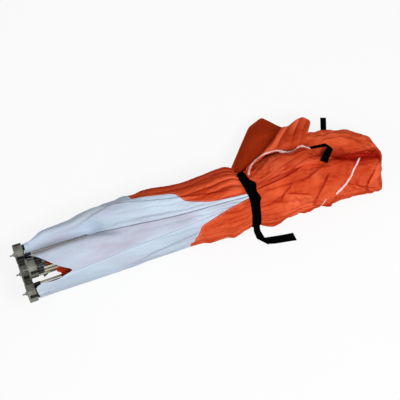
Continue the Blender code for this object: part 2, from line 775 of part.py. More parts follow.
def tab_mesh(name, root, path):
    """A webbing tab sewn to the skirt, through the places of its path."""
    start, away = skirt_point(*root)
    start += away * TAB_TOUCH
    places = [start + Vector(offset) for offset, _ in path]
    before = places[:1] + places[:-1]
    after = places[1:] + places[-1:]
    middles = []
    halves = []
    for place, earlier, later, (_, width) in zip(places, before, after, path):
        half = Vector(width).normalized() * TAB_WIDTH / 2
        middles.append((place, (later - earlier).cross(half)))
        halves.append(half)
    return ribbon(name, middles, halves, TAB_THICK)


def build():
    clear_scene()
    metal = make_material("hub_metal", (0.40, 0.41, 0.36), 0.45, 0.9)
    steel = make_material("bolt_steel", (0.55, 0.55, 0.53), 0.30, 1.0)
    glass_fibre = make_material("rod_fibre", (0.72, 0.70, 0.58), 0.40)
    moulded = make_material("corner_plastic", (0.03, 0.03, 0.03), 0.55)
    white = make_material("white_cloth", (0.74, 0.79, 0.87), 0.55)
    orange = make_material("orange_cloth", (0.80, 0.16, 0.05), 0.55)
    webbing = make_material("black_webbing", (0.012, 0.012, 0.014), 0.80)

    shift = bpy.data.objects.new("hub_row", None)
    shift.location = (-ORIGIN_ALONG, 0, 0)
    bpy.context.scene.collection.objects.link(shift)

    hub = hub_mesh()
    bolt = bolt_mesh()
    rods = {end: rod_mesh("rod_" + end, end) for end in ("butt", "stem", "loose")}
    pleat = pleat_mesh("pleat")
    for wall, umbrella in UMBRELLAS.items():
        centre, along, side, up = umbrella_frame(umbrella)
        seat = Matrix((along, side, up)).transposed().to_4x4()
        seat.translation = centre
        add_object(wall + "_hub", hub, metal, shift).matrix_local = seat
        add_object(wall + "_hub_bolt", bolt, steel, shift).matrix_local = seat
        for corner in umbrella["corners"]:
            frame = rod_frame(umbrella, corner)
            name = wall + "_rod_" + corner
            add_object(name, rods[rod_end(wall, corner)], glass_fibre, shift).matrix_local = frame
        for half, corner in enumerate((umbrella["corners"][0], umbrella["corners"][2])):
            name = wall + "_cloth_" + ("near_half", "far_half")[half]
            cloth = orange if wall == "roof" else white
            add_object(name, pleat, cloth, shift).matrix_local = rod_frame(umbrella, corner)
    for corner in FITTINGS:
        add_object("fitting_" + corner, fitting_mesh(corner), moulded, shift)

    add_object("canopy_white_wrap", cloth_tube("white_wrap", WHITE_STATIONS, mouth=True), white, shift)
    add_object("canopy_waist", cloth_tube("waist", WAIST_STATIONS, strap=True), orange, shift)
    add_object("canopy_skirt", skirt_mesh(), orange, shift)
    add_object("canopy_back_fold", wing_mesh("back_fold", BACK_FOLD), orange, shift)
    add_object("canopy_small_fold", wing_mesh("small_fold", SMALL_FOLD), orange, shift)
    add_object("strap", strap_mesh(), webbing, shift)
    add_object("strap_tail", tail_mesh(), webbing, shift)
    add_object("tab_upright", tab_mesh("tab_1", TAB_UPRIGHT_ROOT, TAB_UPRIGHT), webbing, shift)
    add_object("tab_bent", tab_mesh("tab_2", TAB_BENT_ROOT, TAB_BENT), webbing, shift)


build()
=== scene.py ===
# Winter cube tent, folded and strapped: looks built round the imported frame. Metres, +Z up.
import json
import math

import bmesh
import bpy
import numpy as np
from mathutils import Matrix, Vector
from mathutils.bvhtree import BVHTree

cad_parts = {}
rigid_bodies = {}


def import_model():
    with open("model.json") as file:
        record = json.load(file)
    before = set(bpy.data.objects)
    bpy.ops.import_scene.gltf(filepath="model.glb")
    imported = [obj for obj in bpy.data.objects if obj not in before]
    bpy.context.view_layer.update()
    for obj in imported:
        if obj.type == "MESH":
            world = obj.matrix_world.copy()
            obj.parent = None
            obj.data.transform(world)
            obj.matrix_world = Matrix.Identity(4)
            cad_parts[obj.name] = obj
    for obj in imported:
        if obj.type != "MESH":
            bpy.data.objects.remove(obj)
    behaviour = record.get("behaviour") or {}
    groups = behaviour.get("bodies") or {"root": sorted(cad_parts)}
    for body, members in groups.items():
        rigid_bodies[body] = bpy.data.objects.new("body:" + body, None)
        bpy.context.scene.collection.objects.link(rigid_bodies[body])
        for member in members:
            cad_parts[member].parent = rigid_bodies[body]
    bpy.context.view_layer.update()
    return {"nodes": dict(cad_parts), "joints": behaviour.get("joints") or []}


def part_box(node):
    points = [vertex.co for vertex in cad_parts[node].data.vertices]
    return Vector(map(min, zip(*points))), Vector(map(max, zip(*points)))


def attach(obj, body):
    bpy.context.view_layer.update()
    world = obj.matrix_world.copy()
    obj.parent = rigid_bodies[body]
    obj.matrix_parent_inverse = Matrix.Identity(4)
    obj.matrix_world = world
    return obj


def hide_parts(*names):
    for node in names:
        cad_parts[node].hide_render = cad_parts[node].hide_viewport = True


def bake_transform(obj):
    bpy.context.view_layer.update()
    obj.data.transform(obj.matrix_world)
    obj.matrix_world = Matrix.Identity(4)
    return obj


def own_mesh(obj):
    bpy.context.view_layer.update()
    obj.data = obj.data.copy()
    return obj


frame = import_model()
print("frame loaded:", len(frame["nodes"]), "nodes")

hubLow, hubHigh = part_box("left_wall_hub")
hubRow = (hubLow.x + hubHigh.x) / 2     # every x below is counted from the row of hubs


# Curves and noise

# A smooth line through (place, value) points: cubic pieces whose slopes never overshoot.
def through(knots, x):
    px, py = np.array(knots, float).T
    step = np.diff(px)
    slope = np.diff(py) / step
    tangent = np.zeros(len(px))
    same = slope[:-1] * slope[1:] > 0
    a = 2 * step[1:] + step[:-1]
    b = step[1:] + 2 * step[:-1]
    with np.errstate(divide="ignore", invalid="ignore"):
        mean = (a + b) / (a / slope[:-1] + b / slope[1:])
    tangent[1:-1] = np.where(same, mean, 0)
    tangent[0] = slope[0]
    tangent[-1] = slope[-1]
    x = np.clip(x, px[0], px[-1])
    k = np.clip(np.searchsorted(px, x, side="right") - 1, 0, len(step) - 1)
    t = (x - px[k]) / step[k]
    return ((1 + 2 * t) * (1 - t) ** 2 * py[k] + t * (1 - t) ** 2 * step[k] * tangent[k]
            + t * t * (3 - 2 * t) * py[k + 1] + t * t * (t - 1) * step[k] * tangent[k + 1])


# 0 before start, 1 after end, and smooth between.
def ease(x, start, end):
    t = np.clip((x - start) / (end - start), 0, 1)
    return t * t * (3 - 2 * t)


# 1 between full and fading, 0 before start and after end; without the last two it stays at 1.
def between(x, start, full, fading=8.0, end=9.0):
    return ease(x, start, full) * (1 - ease(x, fading, end))


# A bell of height 1: exp of minus the squared distance in widths.
def hump(x, middle, width):
    return np.exp(-(((x - middle) / width) ** 2))


# Smooth noise from -1 to 1: the mean of sine waves whose lengths lie round the two given.
def ripple(u, v, seed, waves=14, lengthU=0.2, lengthV=0.05):
    rng = np.random.default_rng(seed)
    total = np.zeros(np.broadcast(u, v).shape)
    for _ in range(waves):
        angle = rng.uniform(0, 2 * math.pi)
        stretch = rng.uniform(0.6, 1.7)
        ku = 2 * math.pi * math.cos(angle) * stretch / lengthU
        kv = 2 * math.pi * math.sin(angle) * stretch / lengthV
        total = total + np.sin(ku * u + kv * v + rng.uniform(0, 2 * math.pi))
    return total / math.sqrt(waves)


# Crumple: the mean of sine waves folded into zigzags, so that cloth breaks into flat faces; from -1 to 1.
def facets(u, v, seed, lengthU, lengthV, waves=5, soft=0.95):
    rng = np.random.default_rng(seed)
    warp = 0.9 * ripple(u, v, seed + 100, 6, lengthU * 4, lengthV * 4)
    total = np.zeros(np.broadcast(u, v).shape)
    for number in range(waves):
        angle = math.pi * (number + rng.uniform(0.2, 0.8)) / waves
        stretch = rng.uniform(0.6, 1.5)
        ku = 2 * math.pi * math.cos(angle) * stretch / lengthU
        kv = 2 * math.pi * math.sin(angle) * stretch / lengthV
        wave = np.arcsin(soft * np.sin(ku * u + kv * v + warp + rng.uniform(0, 2 * math.pi))) / math.asin(soft)
        total = total + wave * (0.55 + 0.45 * ripple(u, v, seed + 200 + number, 5, lengthU * 3, lengthV * 3))
    return total / waves ** 0.5


# Gathers: cells of uneven width round the bundle, each a sine raised to a power below 1, so that crests are
# round and the valleys between them narrow. Gives the height from 0 to 1 and how near a valley is.
def gathers(arc, girth, seed, count, sharp, valley):
    rng = np.random.default_rng(seed)
    widths = rng.uniform(0.35, 1.65, count)
    widths *= girth / widths.sum()
    edges = np.concatenate([[0], np.cumsum(widths)])
    tall = np.sqrt(widths / widths.max()) * rng.uniform(0.7, 1.0, count)
    place = np.mod(arc, girth)
    cell = np.clip(np.searchsorted(edges, place, side="right") - 1, 0, count - 1)
    t = np.clip((place - edges[cell]) / widths[cell], 0, 1)
    high = tall[cell] * np.sin(math.pi * t) ** sharp
    return high, np.exp(-((np.minimum(t, 1 - t) * widths[cell] / valley) ** 2))


# Noise and gathers over a section, from the rows in a piece's dictionary. Each row's share grows along x; a share
# named in partly is cut down by what partly gives. Gives the height and the shade in the valleys.
def crumpled(piece, x, arc, partly=None):
    grown = {share: between(x, *places) for share, places in piece["grows"].items()}
    for share, part in (partly or {}).items():
        grown[share] = grown[share] * part
    wander = arc
    for height, numbers in piece["wander"]:
        wander = wander + height * ripple(x, arc, *numbers)
    high = 0
    shade = 0
    for share, height, kind, numbers in piece["noise"]:
        high = high + height * grown[share] * kind(x, arc, *numbers)
    for share, height, level, shift, numbers, darkShare, dark in piece["gathers"]:
        raised, valley = gathers(wander + shift, piece["girth"], *numbers)
        high = high + height * grown[share] * (raised - level)
        shade = shade + dark * grown[darkShare] * valley
    return high, shade


# Long folds laid along lines given over the plan: each falls gently on one side, over the width gentle, and
# steeply on the other. Gives their height in all and the shade at the feet of their steep sides.
def longFolds(x, y, folds):
    high = 0
    shade = 0
    for knots, gentle, steep, height, side, dark in folds:
        slope = (through(knots, x + 0.001) - through(knots, x - 0.001)) / 0.002
        away = side * (y - through(knots, x)) / np.sqrt(1 + slope ** 2)
        first, last = knots[0][0], knots[-1][0]
        reach = 0.18 * (last - first)
        shown = between(x, first, first + reach, last - reach, last)
        high = high + height * shown * np.where(away > 0, np.exp(-away / gentle), np.exp(-((away / steep) ** 2)))
        shade = shade + dark * shown * hump(away, -1.15 * steep, 0.85 * steep)
    return high, shade


# Meshes

# An object of the given data, in the scene.
def linked(name, data):
    made = bpy.data.objects.new(name, data)
    bpy.context.scene.collection.objects.link(made)
    return made


# The four-sided faces of a grid, as the numbers of its points; each way is open or closed.
def gridFaces(rows, cols, closed=False, closedRows=False):
    r = np.arange(rows if closedRows else rows - 1)[:, None]
    c = np.arange(cols if closed else cols - 1)[None, :]
    nextR = (r + 1) % rows
    nextC = (c + 1) % cols
    faces = np.stack([r * cols + c, r * cols + nextC, nextR * cols + nextC, nextR * cols + c], -1)
    return faces.reshape(-1, 4)


# A surface over a grid of points with rows, columns and x, y, z; closed joins the last column to the first.
def gridPiece(name, points, closed=False, uv=None, values=None):
    rows, cols = points.shape[:2]
    quads = gridFaces(rows, cols, closed)
    mesh = bpy.data.meshes.new(name)
    mesh.vertices.add(rows * cols)
    mesh.vertices.foreach_set("co", np.ascontiguousarray(points.reshape(-1), np.float32))
    mesh.loops.add(quads.size)
    mesh.loops.foreach_set("vertex_index", quads.reshape(-1).astype(np.int32))
    mesh.polygons.add(len(quads))
    mesh.polygons.foreach_set("loop_start", np.arange(0, quads.size, 4, dtype=np.int32))
    mesh.update(calc_edges=True)
    mesh.validate()
    if uv is not None:
        layer = mesh.uv_layers.new(name="cloth")
        flat = uv.reshape(-1, 2)[quads.reshape(-1)]
        layer.data.foreach_set("uv", np.ascontiguousarray(flat.reshape(-1), np.float32))
    for key, value in (values or {}).items():
        attribute = mesh.attributes.new(key, "FLOAT", "POINT")
        attribute.data.foreach_set("value", np.ascontiguousarray(value.reshape(-1), np.float32))
    mesh.shade_smooth()
    return linked(name, mesh)


# One value of all items of a mesh, as an array with the given number of columns. Where an item doesn't hold a
# whole row, each is how many numbers it holds.
def readAll(items, key, columns=1, kind=np.float32, each=None):
    flat = np.zeros(len(items) * (each or columns), kind)
    items.foreach_get(key, flat)
    return flat.reshape(-1, columns)


# Turns the whole sheet round if its faces look at the given middle line rather than away.
def faceOutwards(piece, middle):
    away = readAll(piece.data.polygons, "center", 3)[:, 1:] - np.array(middle)
    if (readAll(piece.data.polygons, "normal", 3)[:, 1:] * away).sum() < 0:
        piece.data.flip_normals()


def sheetArea(piece):
    return float(readAll(piece.data.polygons, "area").sum())


def dress(piece, *materials):
    piece.data.materials.clear()
    for material in materials:
        piece.data.materials.append(material)
    return piece


# Changes a piece's mesh by the given function, points its faces outwards and keeps edges sharper than the angle.
def rework(piece, change, sharp):
    work = bmesh.new()
    work.from_mesh(piece.data)
    change(work)
    bmesh.ops.recalc_face_normals(work, faces=work.faces)
    work.to_mesh(piece.data)
    work.free()
    piece.data.shade_smooth()
    piece.data.set_sharp_from_angle(angle=math.radians(sharp))


# Shader maths

# A socket that takes part in sums, so that shader maths reads as a formula.
class Sock:
    def __init__(self, graph, socket):
        self.graph = graph
        self.socket = socket

    def maths(self, operation, *others):
        return self.graph.node("Math", {"operation": operation}, {i: o for i, o in enumerate((self, *others))})

    def __add__(self, other):
        return self.maths("ADD", other)

    def __sub__(self, other):
        return self.maths("SUBTRACT", other)

    def __mul__(self, other):
        return self.maths("MULTIPLY", other)

    __radd__ = __add__
    __rmul__ = __mul__

    def __rsub__(self, other):
        return self.graph.node("Math", {"operation": "SUBTRACT"}, {0: other, 1: self})

    # The value below at start and before, the value above at end and after.
    def over(self, start, end, below=0.0, above=1.0):
        return self.graph.node("Map Range", {"interpolation_type": "SMOOTHSTEP"},
                               {0: self, 1: start, 2: end, 3: below, 4: above})

    # 1 within half of middle, falling to 0 over soft.
    def near(self, middle, half, soft):
        return (self - middle).maths("ABSOLUTE").over(half, half + soft, 1.0, 0.0)


# The nodes of one material.
class Graph:
    kinds = {"Math": "ShaderNodeMath", "Map Range": "ShaderNodeMapRange", "Noise": "ShaderNodeTexNoise",
             "Mix": "ShaderNodeMix", "Coordinate": "ShaderNodeTexCoord", "Mapping": "ShaderNodeMapping",
             "Attribute": "ShaderNodeAttribute", "Bump": "ShaderNodeBump", "Wave": "ShaderNodeTexWave",
             "Light Path": "ShaderNodeLightPath", "Diffuse": "ShaderNodeBsdfDiffuse",
             "Emission": "ShaderNodeEmission", "Mix Shader": "ShaderNodeMixShader"}

    def __init__(self, name):
        self.material = bpy.data.materials.new(name)
        self.material.use_nodes = True
        self.tree = self.material.node_tree
        self.shader = self.tree.nodes["Principled BSDF"]

    def node(self, kind, settings=None, inputs=None, output=0):
        made = self.tree.nodes.new(self.kinds[kind])
        for key, value in (settings or {}).items():
            setattr(made, key, value)
        for key, value in (inputs or {}).items():
            self.feed(made.inputs[key], value)
        return Sock(self, made.outputs[output])

    def feed(self, socket, value):
        if isinstance(value, Sock):
            self.tree.links.new(value.socket, socket)
        elif isinstance(value, tuple) and len(value) == 3 and socket.type == "RGBA":
            socket.default_value = (*value, 1.0)
        else:
            socket.default_value = value

    def place(self):
        return self.node("Coordinate", None, None, "Object")

    def cloth(self):
        return self.node("Coordinate", None, None, "UV")

    def value(self, name):
        return self.node("Attribute", {"attribute_name": name}, None, "Fac")

    def noise(self, where, scale, detail=3.0, roughness=0.55):
        return self.node("Noise", None, {"Vector": where, "Scale": scale, "Detail": detail, "Roughness": roughness})

    def wave(self, where, direction, scale, distortion=0.0):
        return self.node("Wave", {"wave_type": "BANDS", "bands_direction": direction},
                         {"Vector": where, "Scale": scale, "Distortion": distortion})

    def stretched(self, where, scale):
        return self.node("Mapping", None, {"Vector": where, "Scale": scale})

    def mix(self, share, one, other, blend="MIX"):
        return self.node("Mix", {"data_type": "RGBA", "blend_type": blend}, {0: share, 6: one, 7: other}, 2)

    # The colour times a grey that share gives, from 0 black to 1 unchanged.
    def darker(self, colour, share):
        return self.mix(1.0, colour, self.mix(share, (0.0, 0.0, 0.0), (1.0, 1.0, 1.0)), "MULTIPLY")

    def bump(self, height, distance, strength=1.0, under=None):
        inputs = {"Height": height, "Distance": distance, "Strength": strength}
        if under is not None:
            inputs["Normal"] = under
        return self.node("Bump", None, inputs)

    def finish(self, **sockets):
        for key, value in sockets.items():
            self.feed(self.shader.inputs[key.replace("_", " ")], value)
        return self.material


clothColours = {
    "orange": (0.67, 0.078, 0.023),
    # brightOrange serves both a random lighter tone and the painted light on lit folds
    "brightOrange": (0.93, 0.165, 0.064),
    "deepOrange": (0.54, 0.046, 0.012),
    # the back fold's darker orange: partly the cloth's inner side, partly painted shade, as that fold lies in shade
    "inside": (0.34, 0.027, 0.006),
    "insideLight": (0.44, 0.04, 0.008),
    "white": (0.67, 0.79, 0.93),
    "paleBlue": (0.61, 0.74, 0.88),
    # lilac: painted shade on the white panel that slopes away from the light, and a faint random mottle elsewhere
    "lilac": (0.49, 0.47, 0.57),
    "orangeShade": (0.33, 0.0085, 0.0035),
    "stitch": (0.9, 0.7, 0.62),
}


# Coated polyester: white or orange by the seam attribute, a pale stitched edge on the seam, with painted shade in
# creases, valleys and pockets and painted light where folds turn towards the light.
def canopyMaterial(name, kind="two tone"):
    g = Graph(name)
    where = g.place()
    along = g.stretched(where, (1.2, 5.0, 5.0))
    broad = g.noise(along, 4.0, 3.0)
    fine = g.noise(along, 26.0, 4.0)
    # the back fold's cloth: a darker copy of the orange, partly its inner side and partly painted shade
    if kind == "inside":
        orange = g.mix(broad.over(0.3, 0.7), clothColours["inside"], clothColours["insideLight"])
    else:
        orange = g.mix(broad.over(0.36, 0.6), clothColours["deepOrange"], clothColours["orange"])
        orange = g.mix(g.noise(where, 9.0, 2.0).over(0.48, 0.68) * 0.55, orange, clothColours["brightOrange"])
    # painted shade: the attribute read here darkens the orange towards its shade colour and the white towards grey
    folded = g.value("paintedShade")
    # painted light: the lit attribute brightens faces that folds turn towards the light
    orange = g.mix(g.value("lit"), orange, clothColours["brightOrange"])
    orange = g.mix(folded * 0.98, orange, clothColours["orangeShade"])
    colour = orange
    if kind == "two tone":
        # painted shade: the white turns lilac on the panel between the slit and fold B, which slopes away from the
        # light
        white = g.mix(g.value("lilac"), clothColours["white"], clothColours["lilac"])
        white = g.mix(broad.over(0.4, 0.7) * 0.6, white, clothColours["paleBlue"])
        # painted shade on the white, from the same attribute
        white = g.darker(white, 1 - folded * 0.66)
        side = g.value("seam")
        colour = g.mix(side.over(-0.0004, 0.0004), white, orange)
        stitches = g.wave(g.cloth(), "Y", 180.0).over(0.35, 0.6)
        colour = g.mix(side.near(0.0045, 0.0006, 0.0004) * stitches * 0.35, colour, clothColours["stitch"])
        colour = g.mix(side.near(0.001, 0.0007, 0.0005) * 0.45, colour, clothColours["deepOrange"])
    wrinkles = g.noise(along, 60.0, 5.0, 0.6)
    weave = g.wave(where, "X", 45.0, 0.4) * 0.5 + g.wave(where, "Y", 45.0, 0.4) * 0.5
    normal = g.bump(weave, 0.00012, 0.35)
    normal = g.bump(wrinkles, 0.0014, 0.5, normal)
    return g.finish(Base_Color=colour, Roughness=0.46 + fine * 0.16, Normal=normal,
                    Specular_IOR_Level=0.0)


# Black webbing: ribs across its width, a fine weave, and a little lint.
def webbingMaterial():
    g = Graph("webbing")
    uv = g.cloth()
    ribs = g.wave(uv, "Y", 260.0)
    across = g.wave(uv, "X", 90.0)
    lint = g.noise(g.place(), 160.0, 3.0)
    colour = g.mix(lint.over(0.58, 0.85) * 0.5, (0.0016, 0.0015, 0.0016), (0.007, 0.007, 0.008))
    normal = g.bump(ribs * 0.6 + across * 0.4, 0.0005, 0.8)
    return g.finish(Base_Color=colour, Roughness=0.78 + ribs * 0.12, Normal=normal,
                    Specular_IOR_Level=0.0)


# Cast alloy, tumbled and handled: olive grey, dull, darker in patches, worn bright on some spots.
def hubMaterial():
    g = Graph("cast_alloy")
    where = g.place()
    patches = g.noise(where, 34.0, 4.0)
    grains = g.noise(where, 420.0, 3.0)
    colour = g.mix(patches.over(0.35, 0.65), (0.13, 0.13, 0.105), (0.27, 0.275, 0.24))
    colour = g.mix(grains.over(0.62, 0.8) * 0.5, colour, (0.52, 0.53, 0.49))
    normal = g.bump(grains, 0.0004, 0.6)
    normal = g.bump(patches, 0.0008, 0.5, normal)
    return g.finish(Base_Color=colour, Roughness=0.38 + patches * 0.25, Metallic=0.75, Normal=normal)


def boltMaterial():
    g = Graph("bolt")
    where = g.place()
    rings = g.wave(where, "X", 400.0)
    stain = g.noise(where, 180.0, 3.0)
    colour = g.mix(stain.over(0.4, 0.7), (0.3, 0.29, 0.26), (0.56, 0.56, 0.53))
    return g.finish(Base_Color=colour, Roughness=0.28 + stain * 0.2, Metallic=0.95, Normal=g.bump(rings, 0.0002, 0.5))


# Glass fibre: cream, with long fibres that show as faint streaks.
def rodMaterial():
    g = Graph("glass_fibre")
    where = g.stretched(g.place(), (3.0, 220.0, 220.0))
    streaks = g.noise(where, 4.0, 4.0)
    colour = g.mix(streaks.over(0.35, 0.65), (0.42, 0.39, 0.27), (0.72, 0.69, 0.54))
    return g.finish(Base_Color=colour, Roughness=0.3 + streaks * 0.15, Normal=g.bump(streaks, 0.0003, 0.4),
                    Coat_Weight=0.25, Coat_Roughness=0.25)


def ferruleMaterial():
    g = Graph("ferrule")
    stain = g.noise(g.place(), 120.0, 3.0)
    colour = g.mix(stain, (0.3, 0.3, 0.29), (0.48, 0.48, 0.46))
    return g.finish(Base_Color=colour, Roughness=0.35 + stain * 0.15, Metallic=0.9)


# Moulded nylon: near black, finely grained, with paler scuffs.
def plasticMaterial(name, dark, light):
    g = Graph(name)
    where = g.place()
    grain = g.noise(where, 900.0, 2.0)
    scuffs = g.noise(where, 70.0, 5.0, 0.7)
    colour = g.mix(scuffs.over(0.55, 0.75) * 0.7, dark, light)
    return g.finish(Base_Color=colour, Roughness=0.42 + scuffs * 0.2, Normal=g.bump(grain, 0.0002, 0.5))


print("materials next")
wrapCloth = canopyMaterial("canopy_cloth")
skirtCloth = canopyMaterial("skirt_cloth", "orange")
shadedInsideCloth = canopyMaterial("shaded_inside_cloth", "inside")
webbing = webbingMaterial()
castAlloy = hubMaterial()
boltSteel = boltMaterial()
glassFibre = rodMaterial()
ferruleMetal = ferruleMaterial()
socketPlastic = plasticMaterial("socket_nylon", (0.01, 0.01, 0.011), (0.06, 0.06, 0.06))
cornerPlastic = plasticMaterial("corner_nylon", (0.016, 0.016, 0.018), (0.09, 0.09, 0.09))


# The frame of hubs, bolts, rods and corner fittings

for nodeName, node in frame["nodes"].items():
    if nodeName.endswith("_hub"):
        dress(node, castAlloy)
    elif nodeName.endswith("_bolt"):
        dress(node, boltSteel)
    elif nodeName.startswith("fitting_"):
        dress(node, cornerPlastic)

joints = {joint["name"]: joint for joint in frame["joints"]}

walls = ("left_wall", "front_wall", "right_wall", "back_wall", "roof")

rodSizes = {"eye": 0.0062, "eyeHalf": 0.0055, "pinHole": 0.0023, "eyeSides": 24, "socket": 0.0058, "socketEnd": 0.04,
            "rod": 0.004, "ferrule": 0.0055, "ferruleLength": 0.032, "stem": 0.003, "sides": 20, "chamfer": 0.0008}

# how a rod's solid is read: the depth of its tip, the half width above which it is no bare stem, and the distance
# from the pin past which that means the ferrule
rodReading = {"tip": 0.001, "stem": 0.0045, "farOut": 0.5}


# (place along the rod, radius, material) from the pin to the end of the stem: socket, rod, ferrule.
def rodProfile(tip, end):
    s = rodSizes
    socket = [(0.0012, 0.0, 0), (0.0012, 0.0042, 0), (0.0022, 0.0048, 0), (0.0062, 0.0055, 0), (0.0085, s["socket"], 0),
              (0.017, s["socket"], 0), (0.0178, 0.0052, 0), (0.0196, 0.0052, 0), (0.0204, s["socket"], 0),
              (s["socketEnd"] - 0.003, s["socket"], 0), (s["socketEnd"] - 0.0008, 0.0052, 0),
              (s["socketEnd"], 0.0046, 0), (s["socketEnd"], s["rod"], 1)]
    start = tip - s["ferruleLength"]
    rod = [(start * share + s["socketEnd"] * (1 - share), s["rod"], 1) for share in (0.25, 0.5, 0.75)]
    rod.append((start, s["rod"], 2))
    ferrule = [(start, 0.005, 2), (start + 0.0012, s["ferrule"], 2), (start + 0.01, s["ferrule"], 2),
               (start + 0.0106, 0.0051, 2), (start + 0.0122, 0.0051, 2), (start + 0.0128, s["ferrule"], 2),
               (tip - 0.0008, s["ferrule"], 2), (tip, 0.005, 2)]
    if end > tip + 0.001:
        ferrule += [(tip, s["stem"], 2), (end, s["stem"], 2), (end, 0.0, 2)]
    else:
        ferrule += [(tip, 0.0, 2)]
    return socket + rod + ferrule


# Points and faces of a profile turned about X; each face takes the material of its profile step.
def turnedMesh(profile, sides):
    x = np.array([p[0] for p in profile])[:, None]
    r = np.array([p[1] for p in profile])[:, None]
    a = np.linspace(0, 2 * math.pi, sides, endpoint=False)[None, :]
    points = np.stack([x + 0 * a, r * np.cos(a), r * np.sin(a)], -1)
    which = np.repeat([p[2] for p in profile[1:]], sides)
    return points.reshape(-1, 3), gridFaces(len(profile), sides, True), which


# The rounded eye at the socket's end: points and faces of a short barrel round the pin, with its hole.
def eyeMesh():
    size, half, hole, sides, cut = (rodSizes[key] for key in ("eye", "eyeHalf", "pinHole", "eyeSides", "chamfer"))
    ring = np.array([(half, hole), (half, size - cut), (half - cut, size), (-half + cut, size),
                     (-half, size - cut), (-half, hole)])
    a = np.linspace(0, 2 * math.pi, sides, endpoint=False)[None, :]
    z, r = ring[:, :1], ring[:, 1:]
    points = np.stack([r * np.cos(a), r * np.sin(a), z + 0 * a], -1).reshape(-1, 3)
    return points, gridFaces(len(ring), sides, True, True)[:, [0, 3, 2, 1]]


rodAxes = []     # each rod's pin and the end of its ferrule, for the cloth that lies on it


def buildRods():
    eyePoints, eyeQuads = eyeMesh()
    for wall in walls:
        for nodeName in [n for n in frame["nodes"] if n.startswith(wall + "_rod_")]:
            corner = nodeName[len(wall + "_rod_"):]
            joint = joints[wall + "_pin_" + corner]
            pin = np.array(joint["pos_m"], float)
            across = np.array(joint["axis"], float)
            verts = readAll(frame["nodes"][nodeName].data.vertices, "co", 3).astype(float)
            reach = verts[:, 0].max()
            tips = verts[verts[:, 0] > reach - rodReading["tip"]]
            along = tips.mean(0) - pin
            along -= across * (along @ across)
            along /= np.linalg.norm(along)
            up = np.cross(across, along)
            turn = np.stack([along, up, across], 1)
            places = (verts - pin) @ along
            wide = places[np.abs((verts - pin) @ across) > rodReading["stem"]]
            tip = wide[wide > rodReading["farOut"]].max()
            rodAxes.append((pin, pin + along * tip))
            points, quads, which = turnedMesh(rodProfile(tip, places.max()), rodSizes["sides"])
            quads = np.concatenate([quads, eyeQuads + len(points)])
            points = np.concatenate([points, eyePoints]) @ turn.T + pin
            which = np.concatenate([which, np.zeros(len(eyeQuads), int)])
            mesh = bpy.data.meshes.new(nodeName + "_dressed")
            mesh.from_pydata(points.tolist(), [], quads.tolist())
            piece = dress(linked(nodeName + "_dressed", mesh), socketPlastic, glassFibre, ferruleMetal)
            mesh.polygons.foreach_set("material_index", which.astype(np.int32))
            rework(piece, lambda work: bmesh.ops.remove_doubles(work, verts=work.verts, dist=0.00001), 35)
            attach(piece, nodeName)
            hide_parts(nodeName)


buildRods()
print("rods dressed")


# Places counted from the hub row, as places in the model's own frame.
def toFrame(points):
    moved = np.array(points, float)
    moved[..., 0] += hubRow
    return moved


# The middle and the half width of a section.
def spread(x, shape):
    front = through(shape["front"], x)
    back = through(shape["back"], x)
    return (back - front) / 2, (back + front) / 2


# A section's point at the angle phi from its top: y and z are half width and height times the sine and
# cosine, each raised to 2 over the section's roundness, which differs above and below the middle height.
def superellipse(x, phi, shape):
    s = np.sin(phi)
    c = np.cos(phi)
    centre, half = spread(x, shape)
    top = through(shape["top"], x)
    ground = through(shape["ground"], x)
    middle = through(shape["middle"], x)
    power = np.where(c > 0, 2 / through(shape["roundTop"], x), 2 / shape["roundLow"])
    y = centre + half * -np.sign(s) * np.abs(s) ** power
    height = np.where(c > 0, top - middle, middle - ground)
    z = middle + height * np.sign(c) * np.abs(c) ** power
    return y, z


# The angle from the top at which a section passes the given y on its upper side.
def angleAt(x, y, shape):
    centre, half = spread(x, shape)
    share = np.clip((y - centre) / half, -0.999, 0.999)
    return -np.arcsin(np.sign(share) * np.abs(share) ** (through(shape["roundTop"], x) / 2))


def unit(vectors):
    return vectors / np.maximum(np.linalg.norm(vectors, axis=-1, keepdims=True), 1e-9)


# Unit normals of a grid of points, from the cross product of its two directions.
def outwards(points, closed=False):
    if closed:
        around = np.roll(points, -1, 1) - np.roll(points, 1, 1)
    else:
        around = np.gradient(points, axis=1)
    return unit(np.cross(around, np.gradient(points, axis=0)))


floorGap = 0.0012     # the lowest that any cloth lies above the ground
floorward = (0.004, 0.03)     # the heights between which crumples fade towards the ground

# painted light: its direction, the front's share, and how strongly and from what turn of the cloth it acts
paint = {"light": (0.25, -0.7, 0.55), "front": 0.42, "bright": 2.4, "brightFrom": 0.1, "dark": 1.5, "darkFrom": 0.12,
         "darkest": 0.45}


# How far folds turn their cloth towards the light: the change of the normal from the plain section's, along the
# light's direction, and the front's own brightness. Gives how much brighter and how much darker.
def turnedToLight(points, plain, closed=False, side=1.0):
    before = outwards(plain, closed) * side
    change = (outwards(points, closed) * side - before) @ np.array(paint["light"])
    front = paint["front"] * ease(-before[..., 1], 0.3, 0.8)
    bright = change * paint["bright"] - paint["brightFrom"] + front
    return np.clip(bright, 0, 1), np.clip(-change * paint["dark"] - paint["darkFrom"], 0, paint["darkest"])


# y within which a place counts as on top of the bundle, y from which it counts as beside it, and how far along
# its length a rod still holds the cloth away
bundleSides = {"top": 0.096, "beside": 0.078, "rodEnd": 1.01}


